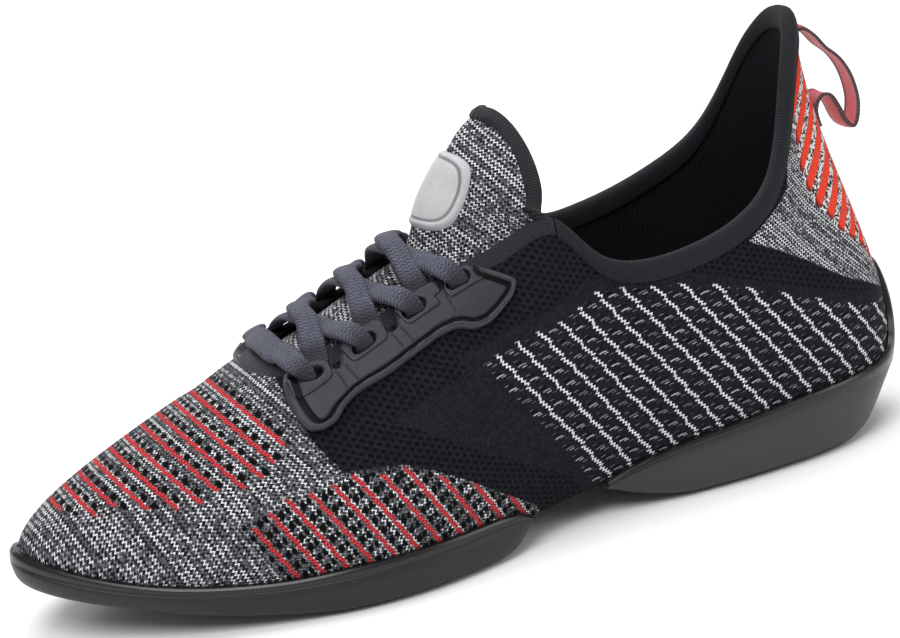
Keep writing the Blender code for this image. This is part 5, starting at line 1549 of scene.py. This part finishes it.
def board_material():
    g = Graph("bottom_board", 0.7, 0.35)
    x, y, z = g.xyz()
    w1, w2 = g.sin(x * (math.tau / 1.4)), g.sin(y * (math.tau / 1.4))
    weave = w1 * w2
    n = g.noise(g.vec(x, y, z), 0.4, 3.0, 0.6)
    col = g.mix(g.ramp(weave * 0.3 + n, 0.1, 1.0), (0.012, 0.012, 0.013), (0.030, 0.030, 0.032))
    return g.finish(col, weave * 0.08 + n * 0.2)


LACE = lace_material()

build_upper()
build_sole("sole_front", 11.26, ROWS, RIM_FORE, TUCK_FORE, True, False, "outsole_forefoot")
build_sole("sole_heel", 0.0, 9.65, RIM_HEEL, TUCK_HEEL, False, True, "outsole_heel")
build_binding()
build_band()
tongue_top, tongue_n, tongue_u, tongue_v = build_tongue()
build_patch(tongue_top, tongue_n, tongue_u, tongue_v)
build_plates()
build_laces()
build_pull()
build_footbed()

board = bpy.data.objects["bottom_board"]
board.data.materials.clear()
board.data.materials.append(board_material())


# ---------------------------------------------------------------- floor, light and camera
floor_mesh = bpy.data.meshes.new("floor")
floor_mesh.from_pydata([(-6, -6, -0.0004), (6, -6, -0.0004), (6, 9, -0.0004), (-6, 9, -0.0004)], [], [(0, 1, 2, 3)])
floor = bpy.data.objects.new("floor", floor_mesh)
bpy.context.scene.collection.objects.link(floor)
f = Graph("floor_pale", 0.75, 0.2)
fx, fy, fz = f.xyz()
f.finish(f.mix(f.noise(f.vec(fx, fy, fz), 0.004, 2.0), (0.90, 0.90, 0.905), (0.92, 0.92, 0.92)))
floor_mesh.materials.append(f.mat)


def area(name, place, target, size, power, colour=(1, 1, 1)):
    data = bpy.data.lights.new(name, "AREA")
    data.shape, data.size, data.size_y = "RECTANGLE", size[0], size[1]
    data.energy, data.color = power, colour
    obj = bpy.data.objects.new(name, data)
    obj.location = place
    d = Vector(target) - Vector(place)
    obj.rotation_euler = d.to_track_quat("-Z", "Y").to_euler()
    bpy.context.scene.collection.objects.link(obj)
    return obj


area("key", (-0.55, -0.75, 1.15), (0.0, 0.0, 0.04), (0.8, 0.8), 13.0)
area("top", (0.15, 0.25, 1.35), (0.0, 0.0, 0.05), (1.3, 1.0), 13.0)
area("side", (0.95, -0.75, 0.55), (0.05, 0.0, 0.05), (0.5, 0.7), 4.0)
area("back", (-0.2, 1.1, 0.6), (0.0, 0.0, 0.05), (1.2, 0.5), 5.0)

world = bpy.data.worlds.new("soft_room") if bpy.context.scene.world is None else bpy.context.scene.world
bpy.context.scene.world = world
world.use_nodes = True
bg = world.node_tree.nodes.get("Background")
bg.inputs["Color"].default_value = (1.0, 1.0, 1.0, 1.0)
bg.inputs["Strength"].default_value = 0.40


def camera_axes(az, el, roll):
    b = np.array([math.sin(az) * math.cos(el), -math.cos(az) * math.cos(el), math.sin(el)])
    r = np.array([math.cos(az), math.sin(az), 0.0])
    u = np.cross(b, r)
    c, s = math.cos(roll), math.sin(roll)
    return r, u, b, c * r + s * u, -s * r + c * u


CAM_AZ, CAM_EL, CAM_ROLL, CAM_DIST, CAM_FOCAL, CAM_R, CAM_U = -0.31416, 0.28798, -0.16842, 900.0, 3268.67988, 1.66799, 55.11068
r0, u0, back, right, up = camera_axes(CAM_AZ, CAM_EL, CAM_ROLL)
aim = CAM_R * r0 + CAM_U * u0
cam_data = bpy.data.cameras.new("camera")
cam = bpy.data.objects.new("camera", cam_data)
bpy.context.scene.collection.objects.link(cam)
cam_data.sensor_fit, cam_data.sensor_width = "HORIZONTAL", 36.0
cam_data.lens = CAM_FOCAL / 900.0 * 36.0
cam_data.clip_start, cam_data.clip_end = 0.05, 50.0
place = (aim + back * CAM_DIST - np.array([CENTRE[0], CENTRE[1], 0.0])) * MM
turn = Matrix(((right[0], up[0], back[0]), (right[1], up[1], back[1]), (right[2], up[2], back[2])))
cam.matrix_world = Matrix.Translation(Vector(place)) @ turn.to_4x4()
bpy.context.scene.camera = cam
bpy.context.scene.view_settings.view_transform = "Standard"
bpy.context.scene.view_settings.look = "None"
